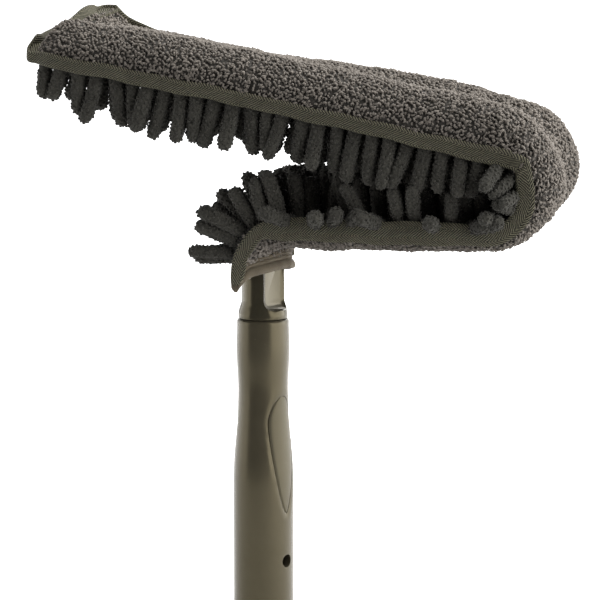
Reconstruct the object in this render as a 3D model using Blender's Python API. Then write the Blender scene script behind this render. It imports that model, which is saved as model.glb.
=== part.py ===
# Ceiling fan duster: a pole-socket handle with a bendable head in a removable microfibre sleeve.
# Metres, +Z up the handle, origin at the centre of the pole socket's mouth.
# The head leaves the handle upwards, turns towards +X and folds back over itself in a U bend.
# Its width lies along Y, and a route of moving frames carries every soft and bendable piece.

import math
import random

import bmesh
import bpy
from mathutils import Matrix, Vector

# Clearances between touching pieces, round the hinge knuckles and between neck and sleeve
GAP = 0.0003
RUN_GAP = 0.0003
SLEEVE_CLEARANCE = 0.0006

# How far a cutter runs on past what it cuts, the angle over which an edge stays sharp,
# and the drawn size of the empties on the hinge axes
CUTTER_REACH = 0.004
SHARP_ANGLE = math.radians(35)
AXIS_MARK_SIZE = 0.010

# Grip: a turned shell with a pole socket below and a bore for the neck above
GRIP_LENGTH = 0.187
GRIP_BASE_RADIUS = 0.0177
GRIP_BASE_TOP = 0.090
WAIST_HEIGHT = 0.146
WAIST_RADIUS = 0.0147
SHOULDER_HEIGHT = 0.169
SHOULDER_RADIUS = 0.0156
GRIP_TOP_RADIUS = 0.0152
GRIP_EDGE = 0.0012
SOCKET_RADIUS = 0.0127
SOCKET_DEPTH = 0.112
SOCKET_CONE = 0.004
RELIEF_RADIUS = 0.0090
WEB_DEPTH = 0.037
WEB_THICKNESS = 0.006
SCREW_HOLE_RADIUS = 0.0023
HANDLE_TURN = math.radians(-18)
GRIP_SEGMENTS = 28

# Button hole that takes the spring button of an extension pole
BUTTON_HEIGHT = 0.045
BUTTON_HOLE_RADIUS = 0.0038
BUTTON_HOLE_SIDES = 16

# Leaf-shaped inlays on both sides of the grip
LEAF_TOP = 0.1425
LEAF_BOTTOM = 0.0735
LEAF_HALF_WIDTH = 0.0098
LEAF_WIDEST = 0.25
LEAF_STEPS = 9
LEAF_STEP_POWER = 1.3
LEAF_HEAD_POWER = 0.5
LEAF_TAIL_POWER = 0.65
LEAF_RECESS = 0.0012
LEAF_PROUD = 0.0002

# Neck: a plug inside the grip, a flare on the seam and a stem with two scooped flats
PLUG_RADIUS = 0.0113
NECK_FLARE_RADIUS = 0.0145
NECK_RADIUS = 0.0126
FLARE_LIP = 0.0022
FLARE_HEIGHT = 0.011
FLARE_STEPS = 6
NECK_LENGTH = 0.0319
FLAT_HALF_THICKNESS = 0.0072
FLAT_RISE = 0.0052
FLAT_CORNER = 0.0045
FLAT_CORNER_STEPS = 4
PILOT_RADIUS = 0.0020
PILOT_DEPTH = 0.018
ROOT_SLOT_DEPTH = 0.019

# Neck screw and washer under the grip's web
SCREW_RADIUS = 0.0017
SCREW_HEAD_RADIUS = 0.0040
SCREW_HEAD_HEIGHT = 0.0026
SCREW_REACH = 0.016
SCREW_SOCKET_RADIUS = 0.0019
SCREW_SOCKET_DEPTH = 0.0015
SCREW_HEAD_BEVEL = 0.0009
SCREW_SIDES = 16
WASHER_RADIUS = 0.0055
WASHER_THICKNESS = 0.0008
WASHER_SIDES = 20
HEX_SIDES = 6

# Route of the head: the middle of the plane of its edge tapes
NECK_BEND_LEAD = 0.0062
NECK_BEND_RADIUS = 0.0184
NECK_BEND_ANGLE = math.radians(87)
LOWER_LENGTH = 0.128
LOWER_TWIST = math.radians(9)
U_BEND_RADIUS = 0.0215
U_BEND_ANGLE = math.radians(-163.5)
UPPER_LENGTH = 0.266
UPPER_BOW = math.radians(-3)
UPPER_TWIST = math.radians(-6)

# Hinges that stand for the bendable spine
NECK_HINGES = 2
U_HINGES = 4

# Spine: a flat strip in links, with a steel wire along each side
STRIP_HALF_WIDTH = 0.0055
STRIP_THICKNESS = 0.0030
STRIP_OUT = 0.0030
KNUCKLE_RADIUS = 0.0018
KNUCKLE_INSET = 0.0003
KNUCKLE_SIDES = 12
WIRE_RADIUS = 0.0010
WIRE_ACROSS = 0.0076
WIRE_SIDES = 6
WIRE_HOLE_SIDES = 10
PIN_RADIUS = 0.0014
PIN_DROP = 0.0028
PIN_SIDES = 12
SPINE_TIP_INSET = 0.030
TIP_CAP_LENGTH = 0.012
TIP_CAP_WALL = 0.0009
TIP_CAP_DEPTH = 0.009
TIP_CAP_CORNER = 0.0013

# Foam body between the spine and the terry panel
FOAM_HALF_WIDTH = 0.0345
FOAM_CROWN = 0.0118
FOAM_SHOULDER_DROP = 0.0053
FOAM_SHOULDER_RUN = 0.0095

# Terry panel: crowned section with a dip along its middle, less full along the lower leg,
# fuller on the near side of the upper leg and, from a share of that leg's length on, lower
# on its far side
PANEL_HALF_WIDTH = 0.0420
PANEL_CROWN = 0.0172
PANEL_THICKNESS = 0.0025
PANEL_DIP = 0.0018
PANEL_DIP_REACH = 0.020
PANEL_SIDE_POWER = 0.75
PANEL_TOP_POWER = 0.62
LOWER_FULLNESS = 0.74
FAR_FULLNESS = 0.31
FAR_FALL_START = 0.10
FAR_FALL_RUN = 0.60
FAR_SIDE_START = -0.15
NEAR_RISE = 0.26
NEAR_RISE_START = -0.030
NEAR_RISE_RUN = 0.045
NEAR_FADE = 0.5
NEAR_FADE_START = 0.190
NEAR_FADE_RUN = 0.070
NEAR_SIDE_END = 0.25
NEAR_SIDE_RUN = 1.10
SHOULDER_RISE = 0.24
SHOULDER_MIDDLE = 0.006
SHOULDER_REACH = 0.070
CROWN_TAPER = 0.012
TAPER_SHARES = (0.8, 0.5, 0.25, 0.08, 0.0)
CROWN_AT_TIP = 0.45
CORNER_RUN = 0.012
CORNER_DRAW = 0.003
SECTION_STEPS = 10

# Finger pads on the inner side of the sleeve
PAD_HALF_WIDTH = 0.0415
PAD_THICKNESS = 0.0020
PAD_COLUMNS = 7
FINGER_WIDTH = 0.0078
FINGER_LENGTH = 0.0285
FINGER_SHOULDER = 0.82
FINGER_TAPER = 0.90
FINGER_TIP = 0.50
FAN_TILT = math.radians(18)
FINGER_LEAN = math.radians(4)
FINGER_SCATTER = 0.07
FINGER_ROOT_SHARE = 0.36
LEAST_FACING = 0.2
SQUARE = ((-1, -1), (-1, 1), (1, 1), (1, -1))
NECK_ROWS = 3
LOWER_ROWS = 12
U_ROWS = 5
UPPER_ROWS = 23
U_FINGER_LENGTH = 0.0110
TIP_CLEARANCE = 0.0016
MOUTH_BULGE = 0.0095
MOUTH_BULGE_RUN = 0.012
MOUTH_BULGE_HALF_WIDTH = 0.030
KNUCKLE_RELIEF = 0.0009
KNUCKLE_RELIEF_FADE = 0.004

# Edge tapes and the hem of the sleeve's mouth
TAPE_THICKNESS = 0.0016
TAPE_BELOW = 0.0045
TAPE_ABOVE = 0.0055
TAPE_ROUND = 0.0006
END_TAPE_WIDTH = 0.0095
END_TAPE_CORNER = ((0.0, 0.0), (0.5, 0.0008), (0.85, 0.0030), (1.0, 0.0062))
HEM_HEIGHT = 0.0050
HEM_THICKNESS = 0.0022
HEM_RIDGE = 0.0005
HEM_FRONT = 0.0132
HEM_BACK = 0.0112
HEM_HALF_WIDTH = 0.0400
HEM_POWER = 1.5
HEM_STEPS = 24
HEM_LINES = ((0, -1), (0.25, 0), (0.5, -1), (0.75, 0), (1, -1))

# Spacing of the sections along the straight legs and round the bends
LEG_STEP = 0.024
BEND_STEP = math.radians(16)

# Heights on the handle, worked out from the sizes above
SEAM_HEIGHT = GRIP_LENGTH + GAP
WEB_HEIGHT = GRIP_LENGTH - WEB_DEPTH
WEB_TOP = WEB_HEIGHT + WEB_THICKNESS
FLAT_BOTTOM = SEAM_HEIGHT + FLAT_RISE
NECK_TOP = SEAM_HEIGHT + NECK_LENGTH
ROOT_SLOT_FLOOR = NECK_TOP - ROOT_SLOT_DEPTH
PIN_HEIGHT = NECK_TOP - PIN_DROP
SLEEVE_START_HEIGHT = NECK_TOP + SLEEVE_CLEARANCE

# Stations along the route, measured from the sleeve's mouth, and where the spine ends
U_BEND_LENGTH = abs(U_BEND_ANGLE) * U_BEND_RADIUS
NECK_BEND_START = NECK_BEND_LEAD
NECK_BEND_END = NECK_BEND_START + NECK_BEND_ANGLE * NECK_BEND_RADIUS
LOWER_END = NECK_BEND_END + LOWER_LENGTH
U_BEND_END = LOWER_END + U_BEND_LENGTH
ROUTE_END = U_BEND_END + UPPER_LENGTH
STRIP_END = ROUTE_END - SPINE_TIP_INSET
JOIN = GAP / 2


class Frame:
    """A place on the route: along is the way it runs, across its width, out the terry side."""

    def __init__(self, point, along, across):
        self.point = point
        self.along = along
        self.across = across
        self.out = across.cross(along)

    def at(self, across, out, along=0.0):
        return self.point + self.across * across + self.out * out + self.along * along

    def moved(self, distance, bend, twist, share):
        """The frame a share of the way along a stretch that bends towards out and twists evenly."""
        run = distance * share
        angle = bend * share
        if abs(bend) < 1e-9:
            point = self.point + self.along * run
        else:
            radius = distance / bend
            rise = self.out * (radius * (1 - math.cos(angle)))
            point = self.point + rise + self.along * (radius * math.sin(angle))
        turn = Matrix.Rotation(angle, 3, self.across)
        along = turn @ self.along
        across = Matrix.Rotation(twist * share, 3, along) @ self.across
        return Frame(point, along, across)


def build_route():
    """Each stretch as its start, length, first frame, bend and twist."""
    stretches = [
        (NECK_BEND_START, 0.0, 0.0),
        (NECK_BEND_END - NECK_BEND_START, NECK_BEND_ANGLE, 0.0),
        (LOWER_LENGTH, 0.0, LOWER_TWIST),
        (U_BEND_LENGTH, U_BEND_ANGLE, 0.0),
        (UPPER_LENGTH, UPPER_BOW, UPPER_TWIST),
    ]
    frame = Frame(Vector((0, 0, SLEEVE_START_HEIGHT)), Vector((0, 0, 1)), Vector((0, 1, 0)))
    route = []
    start = 0.0
    for length, bend, twist in stretches:
        route.append((start, length, frame, bend, twist))
        frame = frame.moved(length, bend, twist, 1.0)
        start += length
    return route


ROUTE = build_route()


def frame_at(station):
    """The frame at a distance along the route from the sleeve's mouth."""
    for start, length, frame, bend, twist in ROUTE:
        if station <= start + length:
            break
    share = (station - start) / length
    return frame.moved(length, bend, twist, share)


def smooth(share):
    return share * share * (3 - 2 * share)


def clamp(value):
    return min(1.0, max(0.0, value))


def leg_stations(start, stop):
    count = max(1, math.ceil((stop - start) / LEG_STEP))
    return [start + (stop - start) * i / count for i in range(count + 1)]


def bend_stations(start, stop, radius):
    count = max(2, math.ceil((stop - start) / (radius * BEND_STEP)))
    return [start + (stop - start) * i / count for i in range(count + 1)]


def material(name, color, roughness, metallic=0.0):
    made = bpy.data.materials.get(name)
    if made is None:
        made = bpy.data.materials.new(name)
        made.use_nodes = True
        shader = made.node_tree.nodes["Principled BSDF"]
        shader.inputs["Base Color"].default_value = (*color, 1.0)
        shader.inputs["Roughness"].default_value = roughness
        shader.inputs["Metallic"].default_value = metallic
        made.diffuse_color = (*color, 1.0)
    return made


FINISHES = {
    "satin_plastic": ((0.105, 0.100, 0.084), 0.42, 0.0),
    "gloss_plastic": ((0.095, 0.092, 0.080), 0.15, 0.0),
    "inlay_plastic": ((0.120, 0.115, 0.098), 0.50, 0.0),
    "spine_plastic": ((0.050, 0.050, 0.050), 0.60, 0.0),
    "steel": ((0.560, 0.560, 0.540), 0.35, 1.0),
    "foam": ((0.180, 0.180, 0.180), 0.95, 0.0),
    "terry": ((0.085, 0.080, 0.080), 0.95, 0.0),
    "chenille": ((0.018, 0.018, 0.015), 0.95, 0.0),
    "edge_tape": ((0.075, 0.072, 0.050), 0.80, 0.0),
    "hem_cloth": ((0.070, 0.060, 0.048), 0.85, 0.0),
}


def finish(name):
    return material(name, *FINISHES[name])


def add_object(name, bm, look, smooth_faces=False):
    """A named object whose mesh has its faces pointing out."""
    bmesh.ops.recalc_face_normals(bm, faces=bm.faces)
    mesh = bpy.data.meshes.new(name)
    bm.to_mesh(mesh)
    bm.free()
    mesh.materials.append(finish(look))
    if smooth_faces:
        mesh.shade_smooth()
        mesh.set_sharp_from_angle(angle=SHARP_ANGLE)
    made = bpy.data.objects.new(name, mesh)
    bpy.context.scene.collection.objects.link(made)
    return made


def add_cutter(name, bm):
    cutter = add_object(name, bm, "spine_plastic")
    cutter.hide_render = True
    cutter.display_type = "WIRE"
    return cutter


def boolean(target, other, operation="DIFFERENCE"):
    modifier = target.modifiers.new(f"{operation.lower()}_{other.name}", "BOOLEAN")
    modifier.operation = operation
    modifier.object = other
    modifier.solver = "EXACT"


def ring_faces(bm, rings, closed_rings=True):
    """Quads between following rings of the same count of vertices."""
    for first, second in zip(rings, rings[1:]):
        count = len(first)
        for i in range(count if closed_rings else count - 1):
            j = (i + 1) % count
            bm.faces.new((first[i], first[j], second[j], second[i]))


def loft_mesh(outlines):
    """A closed solid through outlines of the same count of points, with flat ends."""
    bm = bmesh.new()
    rings = [[bm.verts.new(point) for point in outline] for outline in outlines]
    ring_faces(bm, rings)
    bm.faces.new(rings[0])
    bm.faces.new(rings[-1])
    return bm


def swept(name, outline, stations, look, smooth_faces=True):
    """A closed solid whose section is given by outline(station) as (across, out) points."""
    sections = []
    for station in stations:
        frame = frame_at(station)
        sections.append([frame.at(a, o) for a, o in outline(station)])
    return add_object(name, loft_mesh(sections), look, smooth_faces)


def turned(bm, profile, segments, closed_profile=False):
    """Turn (radius, height) points about Z. A point with no radius becomes a pole."""
    rings = []
    for radius, height in profile:
        if radius == 0:
            rings.append([bm.verts.new((0, 0, height))])
            continue
        ring = []
        for i in range(segments):
            angle = 2 * math.pi * i / segments
            ring.append(bm.verts.new((radius * math.cos(angle), radius * math.sin(angle), height)))
        rings.append(ring)
    pairs = list(zip(rings, rings[1:]))
    if closed_profile:
        pairs.append((rings[-1], rings[0]))
    for first, second in pairs:
        for i in range(segments):
            j = (i + 1) % segments
            corners = [first[i % len(first)], first[j % len(first)]]
            corners += [second[j % len(second)], second[i % len(second)]]
            bm.faces.new(list(dict.fromkeys(corners)))


def box_mesh(low, high):
    bm = bmesh.new()
    bmesh.ops.create_cube(bm, size=1.0)
    size = [end - start for start, end in zip(low, high)]
    middle = [(start + end) / 2 for start, end in zip(low, high)]
    bmesh.ops.scale(bm, vec=size, verts=bm.verts)
    bmesh.ops.translate(bm, vec=middle, verts=bm.verts)
    return bm


def rod_mesh(start, stop, radius, sides):
    """A closed round rod between two points."""
    bm = bmesh.new()
    direction = stop - start
    bmesh.ops.create_cone(
        bm, cap_ends=True, segments=sides, radius1=radius, radius2=radius, depth=direction.length
    )
    turn = direction.to_track_quat("Z", "Y").to_matrix().to_4x4()
    bmesh.ops.transform(bm, matrix=Matrix.Translation((start + stop) / 2) @ turn, verts=bm.verts)
    return bm


def extruded_outline(points, depth_start, depth_stop):
    """A prism along X from an outline of (y, z) points."""
    ends = [[(x, y, z) for y, z in points] for x in (depth_start, depth_stop)]
    return loft_mesh(ends)


def turn_mesh(bm, angle):
    bmesh.ops.rotate(bm, cent=(0, 0, 0), matrix=Matrix.Rotation(angle, 3, "Z"), verts=bm.verts)
    return bm


def empty_on_axis(name, frame):
    """An empty with its Y along a hinge's axis."""
    axis = bpy.data.objects.new(name, None)
    basis = Matrix((frame.along, frame.across, frame.along.cross(frame.across))).transposed()
    axis.matrix_world = Matrix.Translation(frame.point) @ basis.to_4x4()
    axis.empty_display_size = AXIS_MARK_SIZE
    bpy.context.scene.collection.objects.link(axis)
    return axis


def carry(parent, *pieces):
    """Parent pieces to an empty and leave them where they are."""
    bpy.context.view_layer.update()
    for piece in pieces:
        piece.parent = parent
        piece.matrix_parent_inverse = parent.matrix_world.inverted()


def grip_outer_profile(offset=0.0):
    """The grip's outer (radius, height) points from the base up, moved out by offset."""
    stations = [
        (GRIP_BASE_TOP, GRIP_BASE_RADIUS),
        (WAIST_HEIGHT, WAIST_RADIUS),
        (SHOULDER_HEIGHT, SHOULDER_RADIUS),
        (GRIP_LENGTH - GRIP_EDGE, GRIP_TOP_RADIUS),
    ]
    steps = [8, 4, 2]
    points = [(GRIP_BASE_RADIUS + offset, GRIP_EDGE), (GRIP_BASE_RADIUS + offset, GRIP_BASE_TOP)]
    for (low, wide), (high, narrow), count in zip(stations, stations[1:], steps):
        for i in range(1, count + 1):
            share = i / count
            radius = wide + (narrow - wide) * smooth(share)
            points.append((radius + offset, low + (high - low) * share))
    return points


def leaf_outline(margin):
    """Teardrop outline in (y, z): round and wide near its top, drawn to a point below."""
    height = LEAF_TOP - LEAF_BOTTOM
    right = []
    for i in range(1, LEAF_STEPS):
        share = (i / LEAF_STEPS) ** LEAF_STEP_POWER
        if share < LEAF_WIDEST:
            width = math.sin(math.pi / 2 * share / LEAF_WIDEST) ** LEAF_HEAD_POWER
        else:
            tail_share = (share - LEAF_WIDEST) / (1 - LEAF_WIDEST)
            width = math.cos(math.pi / 2 * tail_share) ** LEAF_TAIL_POWER
        right.append((LEAF_HALF_WIDTH * width + margin, LEAF_TOP - height * share))
    left = [(-y, z) for y, z in reversed(right)]
    return [(0, LEAF_TOP + margin), *right, (0, LEAF_BOTTOM - margin), *left]


def solid_of_grip_outline(offset):
    bm = bmesh.new()
    outer = grip_outer_profile(offset)
    profile = [(0, outer[0][1])] + outer + [(0, outer[-1][1])]
    turned(bm, profile, GRIP_SEGMENTS)
    return bm


def leaf_prism(margin, side):
    bm = extruded_outline(leaf_outline(margin), RELIEF_RADIUS / 2, GRIP_BASE_RADIUS + CUTTER_REACH)
    return turn_mesh(bm, HANDLE_TURN + (math.pi if side < 0 else 0))


def make_grip():
    """The grip's shell with its button hole and leaf recesses, and the inlays in these."""
    outer = grip_outer_profile()
    bore = PLUG_RADIUS + GAP
    profile = [
        (SOCKET_RADIUS + GRIP_EDGE, 0),
        (SOCKET_RADIUS, GRIP_EDGE),
        (SOCKET_RADIUS, SOCKET_DEPTH),
        (RELIEF_RADIUS, SOCKET_DEPTH + SOCKET_CONE),
        (RELIEF_RADIUS, WEB_HEIGHT),
        (SCREW_HOLE_RADIUS, WEB_HEIGHT),
        (SCREW_HOLE_RADIUS, WEB_TOP),
        (bore, WEB_TOP),
        (bore, GRIP_LENGTH),
        (GRIP_TOP_RADIUS - GRIP_EDGE / 2, GRIP_LENGTH),
        *reversed(outer),
        (GRIP_BASE_RADIUS - GRIP_EDGE / 2, 0),
    ]
    bm = bmesh.new()
    turned(bm, profile, GRIP_SEGMENTS, closed_profile=True)
    grip = add_object("grip_shell", bm, "satin_plastic", True)
    direction = Vector((math.cos(HANDLE_TURN), math.sin(HANDLE_TURN), 0))
    height = Vector((0, 0, BUTTON_HEIGHT))
    hole = rod_mesh(
        height + direction * (SOCKET_RADIUS / 2),
        height + direction * (GRIP_BASE_RADIUS + CUTTER_REACH),
        BUTTON_HOLE_RADIUS,
        BUTTON_HOLE_SIDES,
    )
    boolean(grip, add_cutter("cut_button_hole", hole))
    floor = add_cutter("cut_leaf_floor", solid_of_grip_outline(-LEAF_RECESS))
    for side, word in ((1, "right"), (-1, "left")):
        recess = add_cutter(f"cut_leaf_recess_{word}", leaf_prism(GAP, side))
        boolean(recess, floor)
        boolean(grip, recess)
        inlay = add_object(f"grip_inlay_{word}", leaf_prism(0, side), "inlay_plastic")
        below = add_cutter(f"cut_inlay_back_{word}", solid_of_grip_outline(GAP - LEAF_RECESS))
        skin = add_cutter(f"cut_inlay_skin_{word}", solid_of_grip_outline(LEAF_PROUD))
        boolean(inlay, skin, "INTERSECT")
        boolean(inlay, below)


def spine_slot(low_height, high_height, grow):
    """The box that the strip's root fills, grown on its sides."""
    half = STRIP_THICKNESS / 2 + grow
    wide = STRIP_HALF_WIDTH + grow
    return box_mesh(
        (STRIP_OUT - half, -wide, low_height), (STRIP_OUT + half, wide, high_height)
    )


def flat_outline(top):
    """Outline in (y, z) of what is scooped off the neck's side: square with rounded lower corners."""
    half = NECK_RADIUS + CUTTER_REACH
    inner = NECK_RADIUS - FLAT_CORNER
    shelf = FLAT_BOTTOM + FLAT_CORNER
    right = []
    for i in range(FLAT_CORNER_STEPS + 1):
        angle = math.pi / 2 * i / FLAT_CORNER_STEPS
        right.append((inner + FLAT_CORNER * math.sin(angle), shelf - FLAT_CORNER * math.cos(angle)))
    left = [(-y, z) for y, z in reversed(right)]
    return [*left, *right, (half, shelf), (half, top), (-half, top), (-half, shelf)]


def make_neck():
    """The plug, flare and stem, with two flats, a slot for the strip and holes for its wires."""
    plug_foot = WEB_TOP + GAP
    narrowing = NECK_FLARE_RADIUS - NECK_RADIUS
    rise = FLARE_HEIGHT - FLARE_LIP
    flare = []
    for i in range(FLARE_STEPS + 1):
        share = i / FLARE_STEPS
        radius = NECK_FLARE_RADIUS - narrowing * smooth(share)
        flare.append((radius, SEAM_HEIGHT + FLARE_LIP + rise * share))
    profile = [
        (0, plug_foot + PILOT_DEPTH),
        (PILOT_RADIUS, plug_foot + PILOT_DEPTH),
        (PILOT_RADIUS, plug_foot),
        (PLUG_RADIUS, plug_foot),
        (PLUG_RADIUS, SEAM_HEIGHT),
        (NECK_FLARE_RADIUS, SEAM_HEIGHT),
        *flare,
        (NECK_RADIUS, NECK_TOP),
        (0, NECK_TOP),
    ]
    bm = bmesh.new()
    turned(bm, profile, GRIP_SEGMENTS)
    neck = add_object("neck", bm, "gloss_plastic", True)

    top = NECK_TOP + CUTTER_REACH
    for side, word in ((0, "right"), (math.pi, "left")):
        outline = flat_outline(top)
        scoop = extruded_outline(outline, FLAT_HALF_THICKNESS, NECK_FLARE_RADIUS + CUTTER_REACH)
        boolean(neck, add_cutter(f"cut_flat_{word}", turn_mesh(scoop, HANDLE_TURN + side)))
    boolean(neck, add_cutter("cut_root_slot", spine_slot(ROOT_SLOT_FLOOR, top, GAP)))
    for side, word in ((-1, "near"), (1, "far")):
        foot = Vector((STRIP_OUT, side * WIRE_ACROSS, ROOT_SLOT_FLOOR))
        head = Vector((foot.x, foot.y, top))
        hole = rod_mesh(foot, head, WIRE_RADIUS + GAP, WIRE_HOLE_SIDES)
        boolean(neck, add_cutter(f"cut_wire_hole_{word}", hole))
    return neck


def pin_mesh(radius, half_length):
    ends = [Vector((side * half_length, 0, PIN_HEIGHT)) for side in (-1, 1)]
    return rod_mesh(ends[0], ends[1], radius, PIN_SIDES)


def make_spine_pin(neck, root_strip):
    """The cross pin through the neck that holds the strip's root, and its holes."""
    add_object("spine_pin", pin_mesh(PIN_RADIUS, FLAT_HALF_THICKNESS), "steel", True)
    hole = add_cutter("cut_pin_hole", pin_mesh(PIN_RADIUS + GAP, NECK_FLARE_RADIUS))
    boolean(neck, hole)
    boolean(root_strip, hole)


def make_neck_screw():
    """The screw up through the grip's web into the neck, and the washer under the web."""
    washer_top = WEB_HEIGHT - GAP
    washer_bottom = washer_top - WASHER_THICKNESS
    bm = bmesh.new()
    inner = SCREW_RADIUS + GAP
    ring = [
        (inner, washer_bottom),
        (WASHER_RADIUS, washer_bottom),
        (WASHER_RADIUS, washer_top),
        (inner, washer_top),
    ]
    turned(bm, ring, WASHER_SIDES, closed_profile=True)
    add_object("neck_washer", bm, "steel", True)
    head_top = washer_bottom - GAP
    head_bottom = head_top - SCREW_HEAD_HEIGHT
    tip = WEB_TOP + SCREW_REACH
    profile = [
        (0, head_bottom),
        (SCREW_HEAD_RADIUS - SCREW_HEAD_BEVEL, head_bottom),
        (SCREW_HEAD_RADIUS, head_bottom + SCREW_HEAD_BEVEL),
        (SCREW_HEAD_RADIUS, head_top),
        (SCREW_RADIUS, head_top),
        (SCREW_RADIUS, tip - SCREW_RADIUS),
        (0, tip),
    ]
    bm = bmesh.new()
    turned(bm, profile, SCREW_SIDES)
    screw = add_object("neck_screw", bm, "steel", True)
    low = Vector((0, 0, head_bottom - CUTTER_REACH))
    high = Vector((0, 0, head_bottom + SCREW_SOCKET_DEPTH))
    socket = rod_mesh(low, high, SCREW_SOCKET_RADIUS, HEX_SIDES)
    boolean(screw, add_cutter("cut_screw_socket", socket))


def hinge_frames(start, radius, bend, count):
    """Frames on the hinge axes of a bend, each turned half way through its own hinge."""
    first = frame_at(start)
    sign = 1 if bend > 0 else -1
    spine_radius = radius - sign * STRIP_OUT
    centre = first.at(0, sign * radius)
    step = bend / count
    frames = []
    for i in range(count):
        turn = Matrix.Rotation(step * (i + 0.5), 3, first.across)
        arm = turn @ (first.out * (-sign * spine_radius / math.cos(step / 2)))
        frames.append(Frame(centre + arm, turn @ first.along, first.across))
    return frames


def knuckle(frame, radius, half_width):
    """A round bar along a hinge's axis."""
    side = frame.across * half_width
    return rod_mesh(frame.point - side, frame.point + side, radius, KNUCKLE_SIDES)


def slab_corners(frame, half_width, out, half_thickness, extension):
    """The four corners of a flat section, extension further along than its frame."""
    corners = []
    for a, o in SQUARE:
        corners.append(frame.at(a * half_width, out + o * half_thickness, extension))
    return corners


def make_link(name, places, scoop_at, knuckle_at):
    """A strip through (frame, out, extension) places: scooped round one hinge, round on the other."""
    half = STRIP_THICKNESS / 2
    sections = []
    for frame, out, extension in places:
        sections.append(slab_corners(frame, STRIP_HALF_WIDTH, out, half, extension))
    link = add_object(name, loft_mesh(sections), "spine_plastic")
    if knuckle_at:
        bar = knuckle(knuckle_at, KNUCKLE_RADIUS, STRIP_HALF_WIDTH - KNUCKLE_INSET)
        boolean(link, add_cutter(f"add_knuckle_{name}", bar), "UNION")
    if scoop_at:
        bore = (KNUCKLE_RADIUS + RUN_GAP) / math.cos(math.pi / KNUCKLE_SIDES)
        bar = knuckle(scoop_at, bore, STRIP_HALF_WIDTH + GAP)
        boolean(link, add_cutter(f"cut_scoop_{name}", bar))
    return link


def bend_links(prefix, hinges):
    """The short links between following hinges of one bend."""
    links = []
    for i, (near, far) in enumerate(zip(hinges, hinges[1:])):
        along = (far.point - near.point).normalized()
        start = Frame(near.point, along, near.across)
        stop = Frame(far.point, along, far.across)
        name = f"{prefix}_link_{i + 1}"
        links.append(make_link(name, [(start, 0, 0), (stop, 0, 0)], near, far))
    return links


def hinge_reach(start, hinge):
    """How far past a stretch's end its strip runs on, straight, to reach a hinge."""
    frame = frame_at(start)
    return (hinge.point - frame.point).dot(frame.along)


def leg_strip(name, start, stop, near_hinge, far_hinge):
    """The strip of a straight stretch, run on to the hinges at its ends."""
    places = [(frame_at(s), STRIP_OUT, 0) for s in leg_stations(start, stop)]
    if near_hinge:
        places.insert(0, (frame_at(start), STRIP_OUT, hinge_reach(start, near_hinge)))
    if far_hinge:
        places.append((frame_at(stop), STRIP_OUT, hinge_reach(stop, far_hinge)))
    return make_link(name, places, near_hinge, far_hinge)


def make_wire(name, stations, across, root_depth=0.0):
    """One round wire along the route, run on below the sleeve's start by root_depth."""
    places = [(frame_at(s), 0) for s in stations]
    if root_depth:
        places.insert(0, (frame_at(stations[0]), -root_depth))
    sections = []
    for frame, extension in places:
        section = []
        for i in range(WIRE_SIDES):
            angle = 2 * math.pi * i / WIRE_SIDES
            a = across + WIRE_RADIUS * math.cos(angle)
            o = STRIP_OUT + WIRE_RADIUS * math.sin(angle)
            section.append(frame.at(a, o, extension))
        sections.append(section)
    return add_object(name, loft_mesh(sections), "steel", True)


def make_tip_cap():
    """A block over the ends of the strip and wires, with a blind pocket for them."""
    start = STRIP_END - TIP_CAP_DEPTH
    inner_width = WIRE_ACROSS + WIRE_RADIUS + GAP
    inner_half = STRIP_THICKNESS / 2 + GAP
    wide = inner_width + TIP_CAP_WALL
    high = inner_half + TIP_CAP_WALL

    def outline(station):
        right = [
            (wide - TIP_CAP_CORNER, -high),
            (wide, -high + TIP_CAP_CORNER),
            (wide, high - TIP_CAP_CORNER),
            (wide - TIP_CAP_CORNER, high),
        ]
        section = right + [(-a, o) for a, o in reversed(right)]
        return [(a, STRIP_OUT + o) for a, o in section]

    stations = [start, start + TIP_CAP_LENGTH]
    cap = swept("spine_tip_cap", outline, stations, "spine_plastic", False)
    mouth = frame_at(start)
    pocket = []
    for depth in (-CUTTER_REACH, TIP_CAP_DEPTH + GAP):
        pocket.append(slab_corners(mouth, inner_width, STRIP_OUT, inner_half, depth))
    boolean(cap, add_cutter("cut_tip_pocket", loft_mesh(pocket)))
    return cap


def make_foam(name, stations, channel_top):
    """A foam block with rounded shoulders and a channel for the strip and its wires."""
    half = WIRE_ACROSS + WIRE_RADIUS + GAP

    def outline(station):
        right = [
            (half, channel_top),
            (half, GAP),
            (FOAM_HALF_WIDTH, GAP),
        ]
        top = [
            (FOAM_HALF_WIDTH, FOAM_CROWN - FOAM_SHOULDER_DROP),
            (FOAM_HALF_WIDTH - FOAM_SHOULDER_RUN / 3, FOAM_CROWN - FOAM_SHOULDER_DROP / 3),
            (FOAM_HALF_WIDTH - FOAM_SHOULDER_RUN, FOAM_CROWN),
        ]
        top += [(0, FOAM_CROWN)] + [(-a, o) for a, o in reversed(top)]
        fitted = [(a, o * foam_share(station, a)) for a, o in top]
        return right + fitted + [(-a, o) for a, o in reversed(right)]

    return swept(name, outline, stations, "foam", False)


def half_width(base, station):
    """The sleeve's half width, drawn in at the corners of its closed end."""
    share = clamp((station - ROUTE_END + CORNER_RUN) / CORNER_RUN)
    return base - CORNER_DRAW * share * share


def crown_share(station):
    """The crown falls towards the tape in a quarter ellipse at the closed end."""
    share = clamp((station - ROUTE_END + CROWN_TAPER) / CROWN_TAPER)
    return CROWN_AT_TIP + (1 - CROWN_AT_TIP) * math.sqrt(max(0.0, 1 - share * share))


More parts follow.
